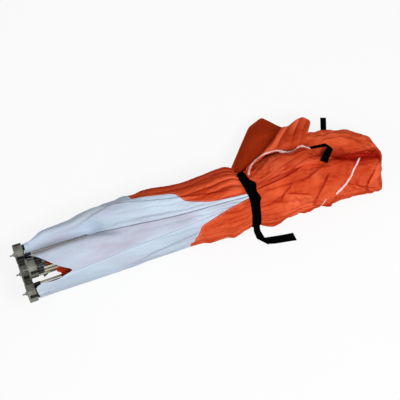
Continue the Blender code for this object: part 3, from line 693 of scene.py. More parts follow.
# Cloth never cuts through a rod. On top of the bundle each place is lifted over any rod under it: to the rod's
# height plus the root of (radius squared less the sideways distance squared). On its sides and below, the same
# is done away from the bundle's middle line.
def clearOfRods(points, middle, clearance, leave=None):
    x = points[..., 0]
    dy = points[..., 1]
    dz = points[..., 2] - middle
    far = np.hypot(dy, dz)
    angle = np.arctan2(dz, dy)
    onTop = (dz > 0) & (np.abs(dy) < bundleSides["top"])
    beside = (dz <= 0) | (np.abs(dy) > bundleSides["beside"])
    wanted = far.copy()
    lifted = points[..., 2].copy()
    for pin, end in rodAxes:
        part = (x + hubRow - pin[0]) / (end[0] - pin[0])
        ry = pin[1] + (end[1] - pin[1]) * part
        rz = pin[2] + (end[2] - pin[2]) * part
        thick = rodSizes["rod"] + (rodSizes["eye"] + floorGap - rodSizes["rod"]) * (1 - ease(x, 0.04, 0.046))
        thick = thick + (rodSizes["ferrule"] - rodSizes["rod"]) * ease(part, 0.96, 0.974) + clearance
        if leave is not None:
            thick = thick * leave(x, ry, rz)
        holds = part < bundleSides["rodEnd"]
        under = onTop & (np.abs(dy - ry) < thick) & holds
        top = rz + np.sqrt(np.maximum(thick ** 2 - (dy - ry) ** 2, 0))
        lifted = np.where(under, np.maximum(lifted, top), lifted)
        reach = np.hypot(ry, rz - middle)
        turn = angle - np.arctan2(rz - middle, ry)
        across = reach * np.sin(turn)
        over = beside & (np.cos(turn) > 0) & (np.abs(across) < thick) & holds
        needed = reach * np.cos(turn) + np.sqrt(np.maximum(thick ** 2 - across ** 2, 0))
        wanted = np.where(over, np.maximum(wanted, needed), wanted)
    grown = wanted / np.maximum(far, 1e-6)
    moved = points.copy()
    moved[..., 1] = dy * grown
    moved[..., 2] = np.maximum(middle + dz * grown, lifted)
    return moved


# A section's cloth moved along its normal by the given height, less near the ground, and kept off it and the rods.
def lifted(points, high, middle, clearance, closed=False, leave=None):
    high = high * ease(points[..., 2], *floorward)
    points = points + outwards(points, closed) * high[..., None]
    points[..., 2] = np.maximum(points[..., 2], floorGap)
    return clearOfRods(points, middle, clearance, leave)


# White and orange cloth from the hubs to the strap

wrap = {
    # middle is the height that rods push the cloth away from
    "rows": 232, "columns": 420, "end": 0.834, "girth": 0.62, "middle": 0.0975, "clearance": 0.0014,
    "shape": {
        "front": [(0.0, 0.0965), (0.13, 0.0965), (0.24, 0.097), (0.355, 0.0955), (0.594, 0.09), (0.63, 0.092),
                  (0.659, 0.1), (0.718, 0.098), (0.745, 0.107), (0.758, 0.103), (0.795, 0.092), (0.826, 0.0875)],
        "back": [(0.0, 0.1005), (0.042, 0.103), (0.104, 0.126), (0.194, 0.129), (0.248, 0.14), (0.311, 0.15),
                 (0.381, 0.148), (0.405, 0.152), (0.447, 0.145), (0.48, 0.149), (0.622, 0.131), (0.715, 0.134),
                 (0.78, 0.137), (0.8, 0.127), (0.812, 0.107), (0.826, 0.099)],
        "top": [(0.0, 0.214), (0.3, 0.21), (0.5, 0.205), (0.7, 0.199), (0.78, 0.191), (0.826, 0.184)],
        "ground": [(0.0, 0.0015), (0.83, 0.0015)],
        "middle": [(0.0, 0.1), (0.83, 0.096)],
        "roundTop": [(0.03, 1.95), (0.2, 1.85), (0.6, 1.85), (0.82, 2.1)],
        "roundLow": 2.6,
    },
    # the mouth's edge, x by the angle from the top in degrees
    "mouth": [(-25, 0.022), (-12, 0.028), (0, 0.05), (7, 0.064), (19, 0.093), (32, 0.13), (43, 0.157), (50, 0.118),
              (57, 0.068), (61, 0.032), (66, 0.022), (100, 0.022), (135, 0.04), (145, 0.135), (173, 0.14),
              (182, 0.06), (230, 0.048), (270, 0.034), (310, 0.026), (335, 0.022)],
    # the rod that shows in the slit, y by x; how far the cloth dips to it and how wide the slit opens beside it
    "rodLine": [(0.03, 0.0565), (0.235, 0.055), (0.275, 0.048), (0.3164, 0.0331), (0.3556, 0.0217), (0.4655, 0.0069),
                (0.576, -0.003), (0.684, -0.008), (0.834, -0.012)],
    "rodHeight": 0.1125,
    "dip": [(0.0, 1.0), (0.22, 1.0), (0.26, 0.86), (0.32, 0.36), (0.38, 0.08), (0.45, 0.0), (0.8, 0.0)],
    "slit": [(0.0, 0.0052), (0.235, 0.0048), (0.275, -0.006), (0.33, -0.011), (0.7, -0.01), (0.8, -0.004)],
    "dipWidth": (0.023, 0.056), "slitBack": 1.25,      # in front of the slit and behind it
    "mouthWave": (0.0022, 7.0),      # height in x, and length in degrees over a full turn
    "tuckWidth": 0.0016, "tuckDepth": 0.0032,      # where the front panel lies under the back panel's edge
    # along the slit: where its closed edge grows, the rolled lip's height, place and width, the other edge's fall
    "slitEdge": {"grows": (0.262, 0.3), "lip": 0.0024, "lipAt": 0.006, "lipWidth": 0.01, "fall": 0.002,
                 "shade": 0.75, "tuckShade": 0.8},
    "foldBForm": {"grows": (0.135, 0.19), "height": 0.0026, "gentle": 0.035, "steep": 0.0016, "shade": 0.6,
                  "belowShade": 0.2},
    # shade at the back edge: share, how far inside the edge it starts and is full, where along x
    "edgeShade": [(0.34, 0.032, 0.012, (0.05, 0.1, 0.42, 0.46)), (0.62, 0.04, 0.02, (0.44, 0.5, 0.8, 0.83))],
    "strapFlat": (0.62, 0.802, 0.816),      # how much of the crumples goes flat under the strap, and where
    # the fold that starts at the mouth's apex, y by x
    "foldB": [(0.14, -0.07), (0.153, -0.068), (0.36, -0.056), (0.498, -0.048), (0.609, -0.042), (0.69, -0.037),
              (0.81, -0.022)],
    # where shares grow along x: start, full and, where they end again, fading, end
    "grows": {"all": (-2, -1), "opened": (0.06, 0.2), "drawn": (0.22, 0.66), "gathered": (0.62, 0.8)},
    # how far the gathers' lines wander: height, and numbers of ripple()
    "wander": [(0.004, (13, 8, 0.5, 0.2)), (0.0015, (19, 8, 0.12, 0.05))],
    # share, height, kind, and the kind's own numbers
    "noise": [("opened", 0.0024, ripple, (11, 12, 0.75, 0.085)), ("opened", 0.0016, facets, (14, 0.34, 0.06)),
              ("all", 0.0006, facets, (15, 0.11, 0.035)), ("all", 0.0003, ripple, (16, 20, 0.03, 0.012))],
    # share, height, level, shift round the bundle, numbers of gathers(), share of the shade, shade
    "gathers": [("drawn", 0.004, 0.45, 0.0, (61, 17, 0.8, 0.0016), "drawn", 0.3),
                ("gathered", 0.0046, 0.5, 0.003, (62, 34, 0.7, 0.0011), "gathered", 0.55)],
    # long folds on top, over the plan: places, gentle and steep widths, height, steep side, shade
    "folds": [
        ([(0.36, -0.094), (0.405, -0.089), (0.505, -0.079), (0.597, -0.072), (0.75, -0.06)],
         0.03, 0.002, 0.0018, 1, 0.35),
        ([(0.3, 0.118), (0.4, 0.098), (0.52, 0.07), (0.66, 0.04), (0.8, 0.018)], 0.028, 0.004, 0.0034, -1, 0.22),
        ([(0.14, 0.074), (0.3, 0.1), (0.44, 0.11), (0.56, 0.095)], 0.022, 0.005, 0.003, -1, 0.14),
    ],
    # the seam between white and orange, x by y: on top, and the two ends of its straight run below
    "seamLow": [(-0.1, 0.592), (0.16, 0.425)],
    "seamTop": [(-0.13, 0.586), (-0.096, 0.59), (-0.09, 0.598), (-0.078, 0.618), (-0.061, 0.638), (-0.0526, 0.669),
                (-0.0483, 0.686), (-0.035, 0.748), (-0.021, 0.815), (-0.0165, 0.834), (-0.0065, 0.834), (-0.004, 0.816),
                (0.0005, 0.735), (0.0053, 0.692), (0.012, 0.668), (0.038, 0.607), (0.079, 0.576), (0.099, 0.485),
                (0.116, 0.438), (0.16, 0.425)],
}


# The rod that shows in the slit stays bare up to where the panels close over it.
def bareInSlit(x, ry, rz):
    beside = np.abs(ry - through(wrap["rodLine"], 0.1)) < 0.012
    return np.where(beside & (rz > 0.105), ease(x, 0.245, 0.285), 1.0)


# Rows run from the mouth to the strap, columns from the slit's front edge round the bundle to its back edge. A
# place is the section's own point, moved along its normal by the sum of ripples, folds and gathers.
def wrapSurface():
    w = wrap
    shape = w["shape"]
    v = np.linspace(0, 1, w["columns"])[None, :]
    s = np.linspace(0, 1, w["rows"])[:, None]
    nominal = w["mouth"][0][0] + 360 * v
    waveHeight, waveLength = w["mouthWave"]
    start = through(w["mouth"], nominal) + waveHeight * np.sin(nominal / waveLength)
    x = start + (w["end"] - start) * s
    line = through(w["rodLine"], x)
    slit = through(w["slit"], x)
    first = angleAt(x, line - slit, shape)
    last = 2 * math.pi + angleAt(x, line + np.maximum(slit, 0.0) * w["slitBack"], shape)
    phi = first + (last - first) * v
    y, z = superellipse(x, phi, shape)
    upper = np.cos(phi) > 0
    away = y - line
    sunk = through(w["dip"], x) * hump(away, 0, np.where(away < 0, *w["dipWidth"])) * (z - w["rodHeight"])
    z = np.where(upper, z - np.maximum(sunk, 0), z)
    hidden = upper & (v < 0.5) & (away > 0)              # the tuck under the back panel
    z = z - np.where(hidden, w["tuckDepth"] * ease(away, 0.0, 0.003), 0)
    points = np.stack([x + 0 * y, y, z], -1)

    arc = v * w["girth"] + 0 * x
    high, valleys = crumpled(w, x, arc)

    form = w["foldBForm"]
    grade = ease(x, *form["grows"]) * upper
    foldB = y - through(w["foldB"], x)
    high += grade * form["height"] * np.where(foldB > 0, np.exp(-foldB / form["gentle"]),
                                              hump(foldB, 0, form["steep"]))
    raised, dark = longFolds(x, y, w["folds"])
    high += raised * upper
    # painted shade at the foot of fold B and of the long folds
    paintedShade = form["shade"] * grade * hump(foldB, -0.002, 0.0013) + dark * upper
    edge = w["slitEdge"]
    pinch = ease(x, *edge["grows"]) * upper
    lip = hump(away, edge["lipAt"], edge["lipWidth"]) * (v > 0.5)      # the back panel's rolled edge over the tuck
    high += pinch * edge["lip"] * lip
    near = hump(away, -0.001, w["tuckWidth"]) * (v < 0.5)
    high -= pinch * edge["fall"] * near
    plain = points
    flat, flatFrom, flatTo = w["strapFlat"]
    points = lifted(points, high * (1 - flat * ease(x, flatFrom, flatTo)), w["middle"], w["clearance"],
                    leave=bareInSlit)

    # colour: the signed distance to the seam between white (below 0) and orange (above 0)
    (y0, x0), (y1, x1) = w["seamLow"]
    below = x0 + (x1 - x0) * (y - y0) / (y1 - y0)
    seamX = np.where(upper, through(w["seamTop"], y), below)
    step = 0.0005
    slope = np.where(upper, (through(w["seamTop"], y + step) - through(w["seamTop"], y - step)) / (2 * step), 0)
    seam = (x - seamX) / np.sqrt(1 + slope ** 2)
    # painted shade along the slit's closed edge, in the tuck, in the gathers' valleys and at the back edge
    paintedShade = paintedShade + pinch * near * edge["shade"] + hidden * ease(away, 0.0, 0.004) * pinch * edge["tuckShade"]
    paintedShade += valleys
    outerEdge = through(shape["back"], x)
    for share, outside, inside, places in w["edgeShade"]:
        paintedShade += share * upper * ease(y, outerEdge - outside, outerEdge - inside) * between(x, *places)
    # painted light where folds turn the cloth towards the light, painted shade where they turn it away, and below fold
    # B
    bright, dark = turnedToLight(points, plain)
    paintedShade = paintedShade + dark * ease(x, 0.1, 0.2) * np.where(seam > 0, 1.0, 0.45)      # less of it shows on white
    paintedShade += 0.1 * np.clip(ripple(x, arc, 21, 8, 0.3, 0.05), 0, 1)
    paintedShade = paintedShade + form["belowShade"] * ease(-foldB, 0.0, 0.012) * (y < 0) * (seam < 0)
    # painted shade: the panel between the slit and fold B slopes away from the light and is painted lilac; elsewhere
    # lilac only mottles the white at random
    panel = ease(foldB, -0.001, 0.003) * (away < 0.0) * upper      # the one between the slit and fold B
    lilac = np.clip(panel * (0.8 + 0.25 * ripple(x, arc, 17, 8, 0.3, 0.08)), 0, 1) * (1 - ease(x, 0.55, 0.7))
    lilac = np.maximum(lilac, 0.15 + 0.25 * ripple(x, arc, 18, 8, 0.4, 0.12))
    lilac += 0.9 * hump(x, 0.078, 0.009) * upper * (away < 0) * ease(y, -0.005, 0.01)
    values = {"seam": seam, "paintedShade": np.clip(paintedShade, 0, 1), "lilac": np.clip(lilac, 0, 1.3), "lit": bright * upper}
    uv = np.stack([x + 0 * y, arc], -1)
    return toFrame(points), values, uv


# Where the skirt's top folds in between its back lip and its lower layers: a line over the plan, where along x it
# falls, the widths of the fall in front of the line and behind it, and of the shade; how high its ground lies in
# front and how much higher at the front layers, between those two places in y.
pocket = {
    "line": [(1.06, 0.062), (1.1, 0.054), (1.167, 0.029), (1.225, -0.005), (1.285, -0.013), (1.337, -0.02)],
    "falls": (1.1, 1.18, 1.29, 1.33), "middle": 0.004, "widths": (0.012, 0.03), "shadeWidths": (0.021, 0.024),
    "low": 0.142, "higher": 0.032, "between": (0.026, 0.046), "shade": 0.95,
    # the roll of cloth at its front edge: where it grows, height, place and width, and rows of shade
    "roll": (1.2, 1.24), "rollForm": (0.006, -0.012, 0.007),
    "rollShades": [(0.62, -0.008, 0.012), (0.35, -0.0225, 0.0022)],
}


# How far the skirt's top falls into that pocket; it stays above the rods and fittings under it.
def skirtDip(x, y):
    away = y - through(pocket["line"], x)
    middle = pocket["middle"]
    return between(x, *pocket["falls"]) * hump(away, middle, np.where(away < middle, *pocket["widths"]))


skirt = {
    # inner rows turn back inside at the end; limits are the lowest and highest crumple
    "rows": 230, "inner": 22, "columns": 392, "start": 0.832, "end": 1.337, "girth": 0.66, "middle": 0.093,
    "clearance": 0.003, "limits": (-0.015, 0.012),
    "shape": {
        "front": [(0.824, 0.0865), (0.842, 0.09), (0.856, 0.098), (0.892, 0.105), (0.95, 0.0985), (1.05, 0.102),
                  (1.1, 0.104), (1.19, 0.101), (1.286, 0.107), (1.304, 0.076), (1.318, 0.04), (1.337, 0.006)],
        "back": [(0.824, 0.098), (0.848, 0.104), (0.9, 0.125), (1.0, 0.152), (1.1, 0.163), (1.144, 0.159),
                 (1.221, 0.135), (1.282, 0.102), (1.326, 0.05), (1.337, 0.026)],
        "top": [(0.824, 0.1835), (0.86, 0.189), (0.95, 0.197), (1.05, 0.198), (1.15, 0.195), (1.22, 0.19),
                (1.29, 0.181), (1.312, 0.16), (1.337, 0.11)],
        "ground": [(0.824, 0.0015), (1.28, 0.0015), (1.337, 0.034)],
        "middle": [(0.824, 0.096), (1.0, 0.098), (1.28, 0.085), (1.337, 0.07)],
        "roundTop": [(0.824, 2.1), (0.95, 1.9), (1.1, 1.85), (1.25, 2.0), (1.337, 2.0)],
        "roundLow": 2.6,
    },
    # how far the lowest layer's hem stands out at the front, by x
    "hem": [(0.842, 0), (0.856, 0.003), (0.892, 0.0115), (0.915, 0.009), (0.95, 0.003), (1.05, 0.007),
            (1.106, 0.012), (1.117, 0)],
    # two facets at the front with painted light, the upper edge of one by x and the left edge of the other by y: the
    # edge, its side, how the painted light fades away from the edge, and along it
    "facets": [([(0.955, -0.046), (0.995, -0.058), (1.045, -0.072)], -1,
                (0, 0.003, 0.026, 0.04), (0.945, 0.958, 1.03, 1.046)),
               ([(-0.098, 1.235), (-0.078, 1.262), (-0.028, 1.31)], 1,
                (0, 0.003, 0.024, 0.036), (-0.094, -0.084, -0.044, -0.032))],
    "facetLight": 0.5,
    # shares, noise, gathers and long folds as in the wrap
    "wander": [(0.006, (23, 8, 0.3, 0.2))],
    "grows": {"all": (-2, -1), "grown": (0.85, 0.97), "leaving": (-2, -1, 0.838, 0.93),
              "fineGathers": (-2, -1, 0.838, 0.93),
              "softGathers": (0.845, 0.9, 0.95, 1.15), "softShade": (-2, -1, 0.95, 1.15), "closed": (1.25, 1.31)},
    "noise": [("grown", 0.0045, ripple, (24, 10, 0.3, 0.11)), ("grown", 0.011, facets, (25, 0.19, 0.13, 4, 0.99)),
              ("grown", 0.0062, facets, (26, 0.085, 0.066, 4, 0.99)),
              ("grown", 0.0018, facets, (29, 0.036, 0.03, 4, 0.98)),
              ("all", 0.0005, ripple, (27, 20, 0.035, 0.016))],
    "gathers": [("fineGathers", 0.0048, 0.5, 0.0, (63, 32, 0.7, 0.0011), "leaving", 0.55),
                ("softGathers", 0.006, 0.45, 0.01, (64, 13, 0.8, 0.002), "softShade", 0.3),
                ("closed", 0.004, 0.5, 0.02, (65, 15, 0.8, 0.002), "closed", 0.35)],
    "folds": [
        ([(0.845, 0.03), (0.905, 0.06), (0.96, 0.078), (1.02, 0.087), (1.085, 0.088)],
         0.03, 0.0035, 0.005, 1, 0.55),
        ([(0.85, 0.016), (0.935, 0.036), (1.02, 0.058), (1.105, 0.076)], 0.022, 0.003, 0.0055, 1, 0.6),
        ([(0.852, 0.004), (0.95, 0.016), (1.04, 0.04), (1.12, 0.066)], 0.018, 0.0026, 0.006, 1, 0.65),
        ([(0.852, -0.004), (0.96, 0.004), (1.06, 0.03)], 0.016, 0.0024, 0.0042, -1, 0.5),
        ([(0.852, -0.016), (0.93, -0.022), (1.02, -0.024), (1.12, 0.004)], 0.034, 0.004, 0.004, -1, 0.3),
        ([(0.855, 0.046), (0.89, 0.078), (0.925, 0.094)], 0.014, 0.003, 0.0036, 1, 0.45),
        ([(1.1, 0.12), (1.16, 0.112), (1.24, 0.094), (1.3, 0.062)], 0.03, 0.003, 0.005, -1, 0.45),
        ([(1.13, 0.098), (1.19, 0.088), (1.26, 0.064)], 0.02, 0.003, 0.003, -1, 0.3),
        ([(1.19, 0.012), (1.25, 0.018), (1.325, 0.016)], 0.026, 0.003, 0.0055, 1, 0.55),
        ([(1.13, -0.03), (1.2, -0.044), (1.29, -0.04)], 0.04, 0.004, 0.003, 1, 0.22),
        ([(0.88, -0.058), (0.96, -0.074), (1.06, -0.086)], 0.04, 0.0045, 0.0034, -1, 0.28),
        ([(1.036, -0.099), (1.075, -0.07), (1.13, -0.024)], 0.03, 0.003, 0.006, -1, 0.34),
        ([(0.93, -0.066), (0.955, -0.044), (0.985, -0.024)], 0.026, 0.0026, 0.005, -1, 0.26),
        ([(0.955, -0.046), (0.995, -0.058), (1.045, -0.072)], 0.024, 0.0026, 0.0046, -1, 0.3),
        ([(1.235, -0.098), (1.262, -0.078), (1.31, -0.028)], 0.03, 0.0026, 0.006, -1, 0.32),
        ([(1.2, -0.078), (1.245, -0.092), (1.295, -0.106)], 0.022, 0.0026, 0.0044, 1, 0.34),
        ([(1.145, -0.096), (1.19, -0.076), (1.24, -0.05)], 0.026, 0.0028, 0.0036, 1, 0.22),
    ],
}


# Rows run from the strap to the gathered end and a little way back inside it, columns round the bundle.
def skirtSurface():
    k = skirt
    shape = k["shape"]
    v = np.linspace(0, 1, k["columns"], endpoint=False)[None, :]
    inner = k["inner"]
    s = np.linspace(0, 1, k["rows"])[:, None]
    x = k["start"] + (k["end"] - k["start"]) * (0.4 * s + 0.6 * (1 - (1 - s) ** 1.6))
    phi = 2 * math.pi * v + 0 * x
    x = x + 0 * phi
    y, z = superellipse(x, phi, shape)
    upper = np.cos(phi) > 0
    dip = np.where(upper, skirtDip(x, y), 0)
    ground = pocket["low"] + pocket["higher"] * (1 - ease(y, *pocket["between"]))
    z = z - dip * np.maximum(z - ground, 0)
    points = np.stack([x, y, z], -1)
    plain = points
    arc = v * k["girth"] + 0 * x
    # painted shade in the gathers' valleys and at the feet of the long folds
    high, paintedShade = crumpled(k, x, arc, {"fineGathers": 0.45 + 0.55 * ease(x, 0.838, 0.85)})
    raised, dark = longFolds(x, y, k["folds"])
    high += raised * upper * (1 - 0.6 * dip)
    paintedShade = paintedShade + dark * upper
    intoPocket = y - through(pocket["line"], x)
    onTop = upper * ease(z, 0.1, 0.135)
    roll = ease(x, *pocket["roll"]) * onTop
    rollHeight, *rollPlace = pocket["rollForm"]
    high += rollHeight * roll * hump(intoPocket, *rollPlace)
    paintedShade += sum(share * roll * hump(intoPocket, place, width) for share, place, width in pocket["rollShades"])
    middle = pocket["middle"]
    # painted shade in the pocket where the top folds in, and a lighter shade before it
    wedge = hump(intoPocket, middle, np.where(intoPocket < middle, *pocket["shadeWidths"]))
    paintedShade += pocket["shade"] * ease(x, 1.09, 1.17) * onTop * wedge
    paintedShade += 0.16 * between(x, 1.03, 1.09, 1.17, 1.22) * upper * hump(intoPocket, -0.02, 0.03)
    high = np.clip(high, *k["limits"]) * (1 - ease(x, 1.3, 1.33))
    points = lifted(points, high, k["middle"], k["clearance"], True)
    low = ease(-y, 0.04, 0.07) * (1 - ease(z, 0.05, 0.062))
    points[..., 1] -= through(k["hem"], x) * low
    # painted light where folds turn the cloth towards the light, less on the back lip, and on two front facets; painted
    # shade where folds turn away and along the low hem
    bright, dark = turnedToLight(points, plain, True)
    paintedShade += dark
    bright = bright * (1 - 0.65 * ease(y, 0.015, 0.05)) * (1 - 0.35 * hump(y, -0.02, 0.04))
    for (edge, way, acrossIt, alongIt), place, other in zip(k["facets"], (x, y), (y, x)):
        facet = way * (other - through(edge, place))
        bright += k["facetLight"] * upper * between(facet, *acrossIt) * between(place, *alongIt)
    bright = np.clip(bright, 0, 1)
    lowHem = ease(-y, 0.07, 0.085) * (1 - ease(z, 0.05, 0.075)) * between(x, 0.86, 0.9, 1.1, 1.13)
    paintedShade += 0.3 * lowHem + 0.14 * np.clip(ripple(x, arc, 28, 8, 0.2, 0.1), 0, 1)
    # the hem turned back into the bundle: each ring shrinks towards the last one's middle, with painted shade that
    # deepens inwards
    def innerRows(grid):
        return np.repeat(grid[-1:], inner, 0)

    last = points[-1]
    centre = last.mean(0)
    t = np.linspace(0, 1, inner + 1)[1:, None, None]
    size = 1 - 0.94 * t ** 1.2
    back = centre + (last[None] - centre) * size
    back[..., 0] = last[None, :, 0] + 0.006 * np.sin(math.pi * np.minimum(t[..., 0] * 1.8, 1)) - 0.034 * t[..., 0]
    back[..., 0] += 0.003 * t[..., 0] * np.sin(phi[:1] * 7)
    points = np.concatenate([points, back], 0)
    paintedShade = np.concatenate([paintedShade, innerRows(paintedShade) + 0.7 * t[..., 0]], 0)
    bright = np.concatenate([bright * upper, innerRows(0 * bright)], 0)
    uv = np.stack([points[..., 0], np.concatenate([arc, innerRows(arc)], 0)], -1)
    return toFrame(points), {"paintedShade": np.clip(paintedShade, 0, 1), "lit": bright}, uv


# Every soft outer piece stays with the canopy, on a mesh of its own, and the nodes it stands for are hidden.
def settle(piece, slotName, *nodes):
    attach(piece, "canopy")
    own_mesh(piece)
    if nodes:
        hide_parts(*nodes)
    return piece


# A soft piece from what a surface function gives; where a middle line is given, its faces look away from it.
def softPiece(name, made, material, slotName, *nodes, closed=False, middle=None):
    points, values, uv = made
    piece = dress(gridPiece(name, points, closed, uv, values), material)
    if middle:
        faceOutwards(piece, middle)
    return settle(piece, slotName, *nodes)


# The area of a soft piece as drawn, one layer of cloth; its width as a rectangle of the given length is worked out and
# not kept.
def declareSheet(piece, length, held, *restsOn):
    area = sheetArea(piece)
    round(area / length, 4)
    return area


wrapPiece = softPiece("wrap_skin", wrapSurface(), wrapCloth, "white_cloth", "canopy_white_wrap", "canopy_waist",
                      middle=(0, 0.1))
skirtPiece = softPiece("skirt_skin", skirtSurface(), skirtCloth, "orange_cloth", "canopy_skirt", closed=True,
                       middle=(0, 0.1))
wrapArea = declareSheet(wrapPiece, 0.8, "gathered", "roof_rod_top_front_left", "left_wall_rod_top_back_left")
skirtArea = declareSheet(skirtPiece, 0.55, "gathered", "roof_rod_top_front_left", "left_wall_rod_top_back_left")
print("skins made:", round(wrapArea, 3), round(skirtArea, 3), "square metres")


# Orange facing just inside the mouth's apex: a patch between two edges, in folds that run into the bundle

# edges as (y, z)
facing = {"upperEdge": (-0.024, 0.15), "lowerEdge": (-0.064, 0.126), "start": 0.104, "end": 0.3, "pleat": 0.0022,
          "rows": 60, "columns": 60}


def facingSurface():
    f = facing
    v = np.linspace(0, 1, f["columns"])[None, :]
    s = np.linspace(0, 1, f["rows"])[:, None]
    start = f["start"] + 0.014 * v + 0.005 * ripple(v, 0, 71, 6, 0.5, 1.0)
    x = start + (f["end"] - start) * s
    y = f["upperEdge"][0] + (f["lowerEdge"][0] - f["upperEdge"][0]) * v
    z = f["upperEdge"][1] + (f["lowerEdge"][1] - f["upperEdge"][1]) * v
    rays, valley = gathers(v + 0.0 * x, 1.0, 72, 5, 0.8, 0.03)
    points = np.stack([x, y + 0 * x, z + f["pleat"] * (rays - 0.5)], -1)
    # painted shade: all of it darkened, more in the folds' valleys and towards its lower edge
    return toFrame(points), {"paintedShade": np.clip(0.35 + 0.5 * valley + 0.3 * v, 0, 1)}, np.stack([x, v + 0 * x], -1)


facingPiece = softPiece("mouth_facing", facingSurface(), skirtCloth, "orange_cloth")
declareSheet(facingPiece, 0.196, "gathered", "back_wall_rod_top_back_left")


# Loose folds at the back: a sheet that leaves the bundle, turns at its free edge and comes back below

# Straight stretches between places, with their corners rounded by a short moving mean.
def bent(knots, t, soft=0.025):
    px, py = np.array(knots, float).T
    return np.mean([np.interp(np.clip(t + shift, 0, 1), px, py) for shift in np.linspace(-soft, soft, 9)], 0)


# edgeStart and edgeEnd are the shares of the rows between which a fold turns at its free edge
foldGrid = {"rows": 110, "columns": 150, "edgeStart": 0.58, "edgeEnd": 0.62}


# Upper layer from root to edge, lower layer from edge to under, joined by a rounded turn; both swell a little.
def looseFold(fold):
    rows, columns, edgeStart, edgeEnd = foldGrid.values()
    t = np.linspace(0, 1, columns)
    rootLine, edgeLine, underLine = (np.stack([bent([(p[0], p[i]) for p in fold[key]], t) for i in (1, 2, 3)], -1)
                                     for key in ("root", "edge", "under"))
    s = np.linspace(0, 1, rows)[:, None, None]
    isUpper = s <= (edgeStart + edgeEnd) / 2
    upperS = np.clip(s / edgeStart, 0, 1)
    lowerS = np.clip((s - edgeEnd) / (1 - edgeEnd), 0, 1)
    turned = np.clip((s - edgeStart) / (edgeEnd - edgeStart), 0, 1)
    top = rootLine + (edgeLine - rootLine) * upperS
    low = edgeLine + (underLine - edgeLine) * lowerS
    points = np.where(isUpper, top, low)
    points = points + np.array([0, 0, fold["thick"] / 2]) * (1 - 2 * turned)
    points = points + unit(edgeLine - rootLine) * (fold["thick"] / 2) * np.sin(math.pi * turned)
    u = np.where(isUpper, upperS, 1 - lowerS)[..., 0]
    across = t[None, :] + 0 * u
    u = u + 0 * across
    swell = np.where(isUpper, 1.0, -0.5)[..., 0]
    points[..., 2] += fold["lift"] * np.sin(math.pi * u) * np.sin(math.pi * across) ** 0.6 * swell
    seed = fold["seed"]
    rays, valley = gathers(across + 0.02 * ripple(u, across, seed, 8, 2.0, 0.8), 1.0, seed, fold["rays"], 0.8, 0.012)
    wave = fold["pleat"] * (rays - 0.5) * ease(u, 0.02, 0.3)
    wave = wave + fold["wave"] * ripple(u, across, seed + 1, 8, 1.4, 0.7) * ease(u, 0.05, 0.5)
    wave = wave + fold["wave"] * facets(u, across, seed + 2, 1.1, 0.8) * ease(u, 0.0, 0.25)
    plain = points.copy()
    points[..., 2] = np.maximum(points[..., 2] + wave, floorGap)
    upwards = float(np.sign(outwards(plain)[:rows // 2, :, 2].mean()))
    bright, dark = turnedToLight(points, plain, side=upwards)
    # painted shade at the root, in the valleys and where the upper layer turns from the light; painted light where it
    # turns towards it
    layer = (s[..., 0] <= edgeStart) * ease(u, 0.03, 0.1)
    paintedShade = dark * layer + 0.1 * valley * (1 - u) + fold["rootShade"] * np.exp(-((u / 0.16) ** 2))
    uv = np.stack([across * 0.2, u * 0.15], -1)
    return toFrame(points), {"paintedShade": np.clip(paintedShade, 0, 1), "lit": bright * layer * fold["lit"]}, uv


# (share of the way along, x, y, z)
backFold = {
    "root": [(0, 0.826, 0.098, 0.118), (0.25, 0.85, 0.1, 0.14), (0.55, 0.925, 0.124, 0.146),
             (0.8, 0.985, 0.138, 0.142), (1, 1.045, 0.147, 0.138)],
    "edge": [(0, 0.807, 0.121, 0.11), (0.15, 0.832, 0.152, 0.1), (0.3, 0.86, 0.187, 0.086),
             (0.46, 0.927, 0.268, 0.06), (0.64, 0.984, 0.291, 0.056), (0.85, 1.037, 0.229, 0.062),
             (1, 1.058, 0.212, 0.07)],
    "under": [(0, 0.826, 0.106, 0.06), (0.5, 0.925, 0.15, 0.035), (1, 1.05, 0.165, 0.04)],
    "thick": 0.006, "lift": 0.006, "rays": 5, "pleat": 0.003, "wave": 0.0026, "rootShade": 0.55, "seed": 31,
    "lit": 0.15,
}
smallFold = {
    "root": [(0, 0.846, 0.066, 0.1745), (0.2, 0.876, 0.092, 0.17), (0.45, 0.935, 0.116, 0.168),
             (0.7, 1.000, 0.11, 0.176), (1, 1.09, 0.102, 0.178)],
    "edge": [(0, 0.852, 0.09, 0.166), (0.2, 0.917, 0.124, 0.158), (0.38, 0.973, 0.161, 0.142),
             (0.54, 1.028, 0.207, 0.126), (0.62, 1.05, 0.204, 0.126), (0.72, 1.09, 0.22, 0.124),
             (0.8, 1.111, 0.224, 0.124), (0.88, 1.132, 0.207, 0.124), (0.94, 1.134, 0.19, 0.126),
             (1, 1.112, 0.163, 0.132)],
    "under": [(0, 0.856, 0.092, 0.15), (0.5, 0.98, 0.14, 0.122), (1, 1.1, 0.15, 0.118)],
    "thick": 0.006, "lift": 0.009, "rays": 7, "pleat": 0.0056, "wave": 0.0036, "rootShade": 0.4, "seed": 41,
    "lit": 1.0,
}
# the back fold takes the darker cloth: partly its inner side, partly painted shade
backPiece = softPiece("back_fold_skin", looseFold(backFold), shadedInsideCloth, "orange_cloth", "canopy_back_fold")
smallPiece = softPiece("small_fold_skin", looseFold(smallFold), skirtCloth, "orange_cloth", "canopy_small_fold")
for piece, length in ((backPiece, 0.4), (smallPiece, 0.25)):
    declareSheet(piece, length, "folded", "skirt_skin")
print("folds made")


# What lies on the cloth: the binding of the seams, the strap, its free end and the tabs


# One search tree over several pieces of four-sided faces, to find the cloth under a place.
def surfaceOf(*pieces):
    verts = []
    faces = []
    for piece in pieces:
        faces += (readAll(piece.data.loops, "vertex_index", 4, np.int32, 1) + len(verts)).tolist()
        verts += readAll(piece.data.vertices, "co", 3).tolist()
    return BVHTree.FromPolygons(verts, faces)


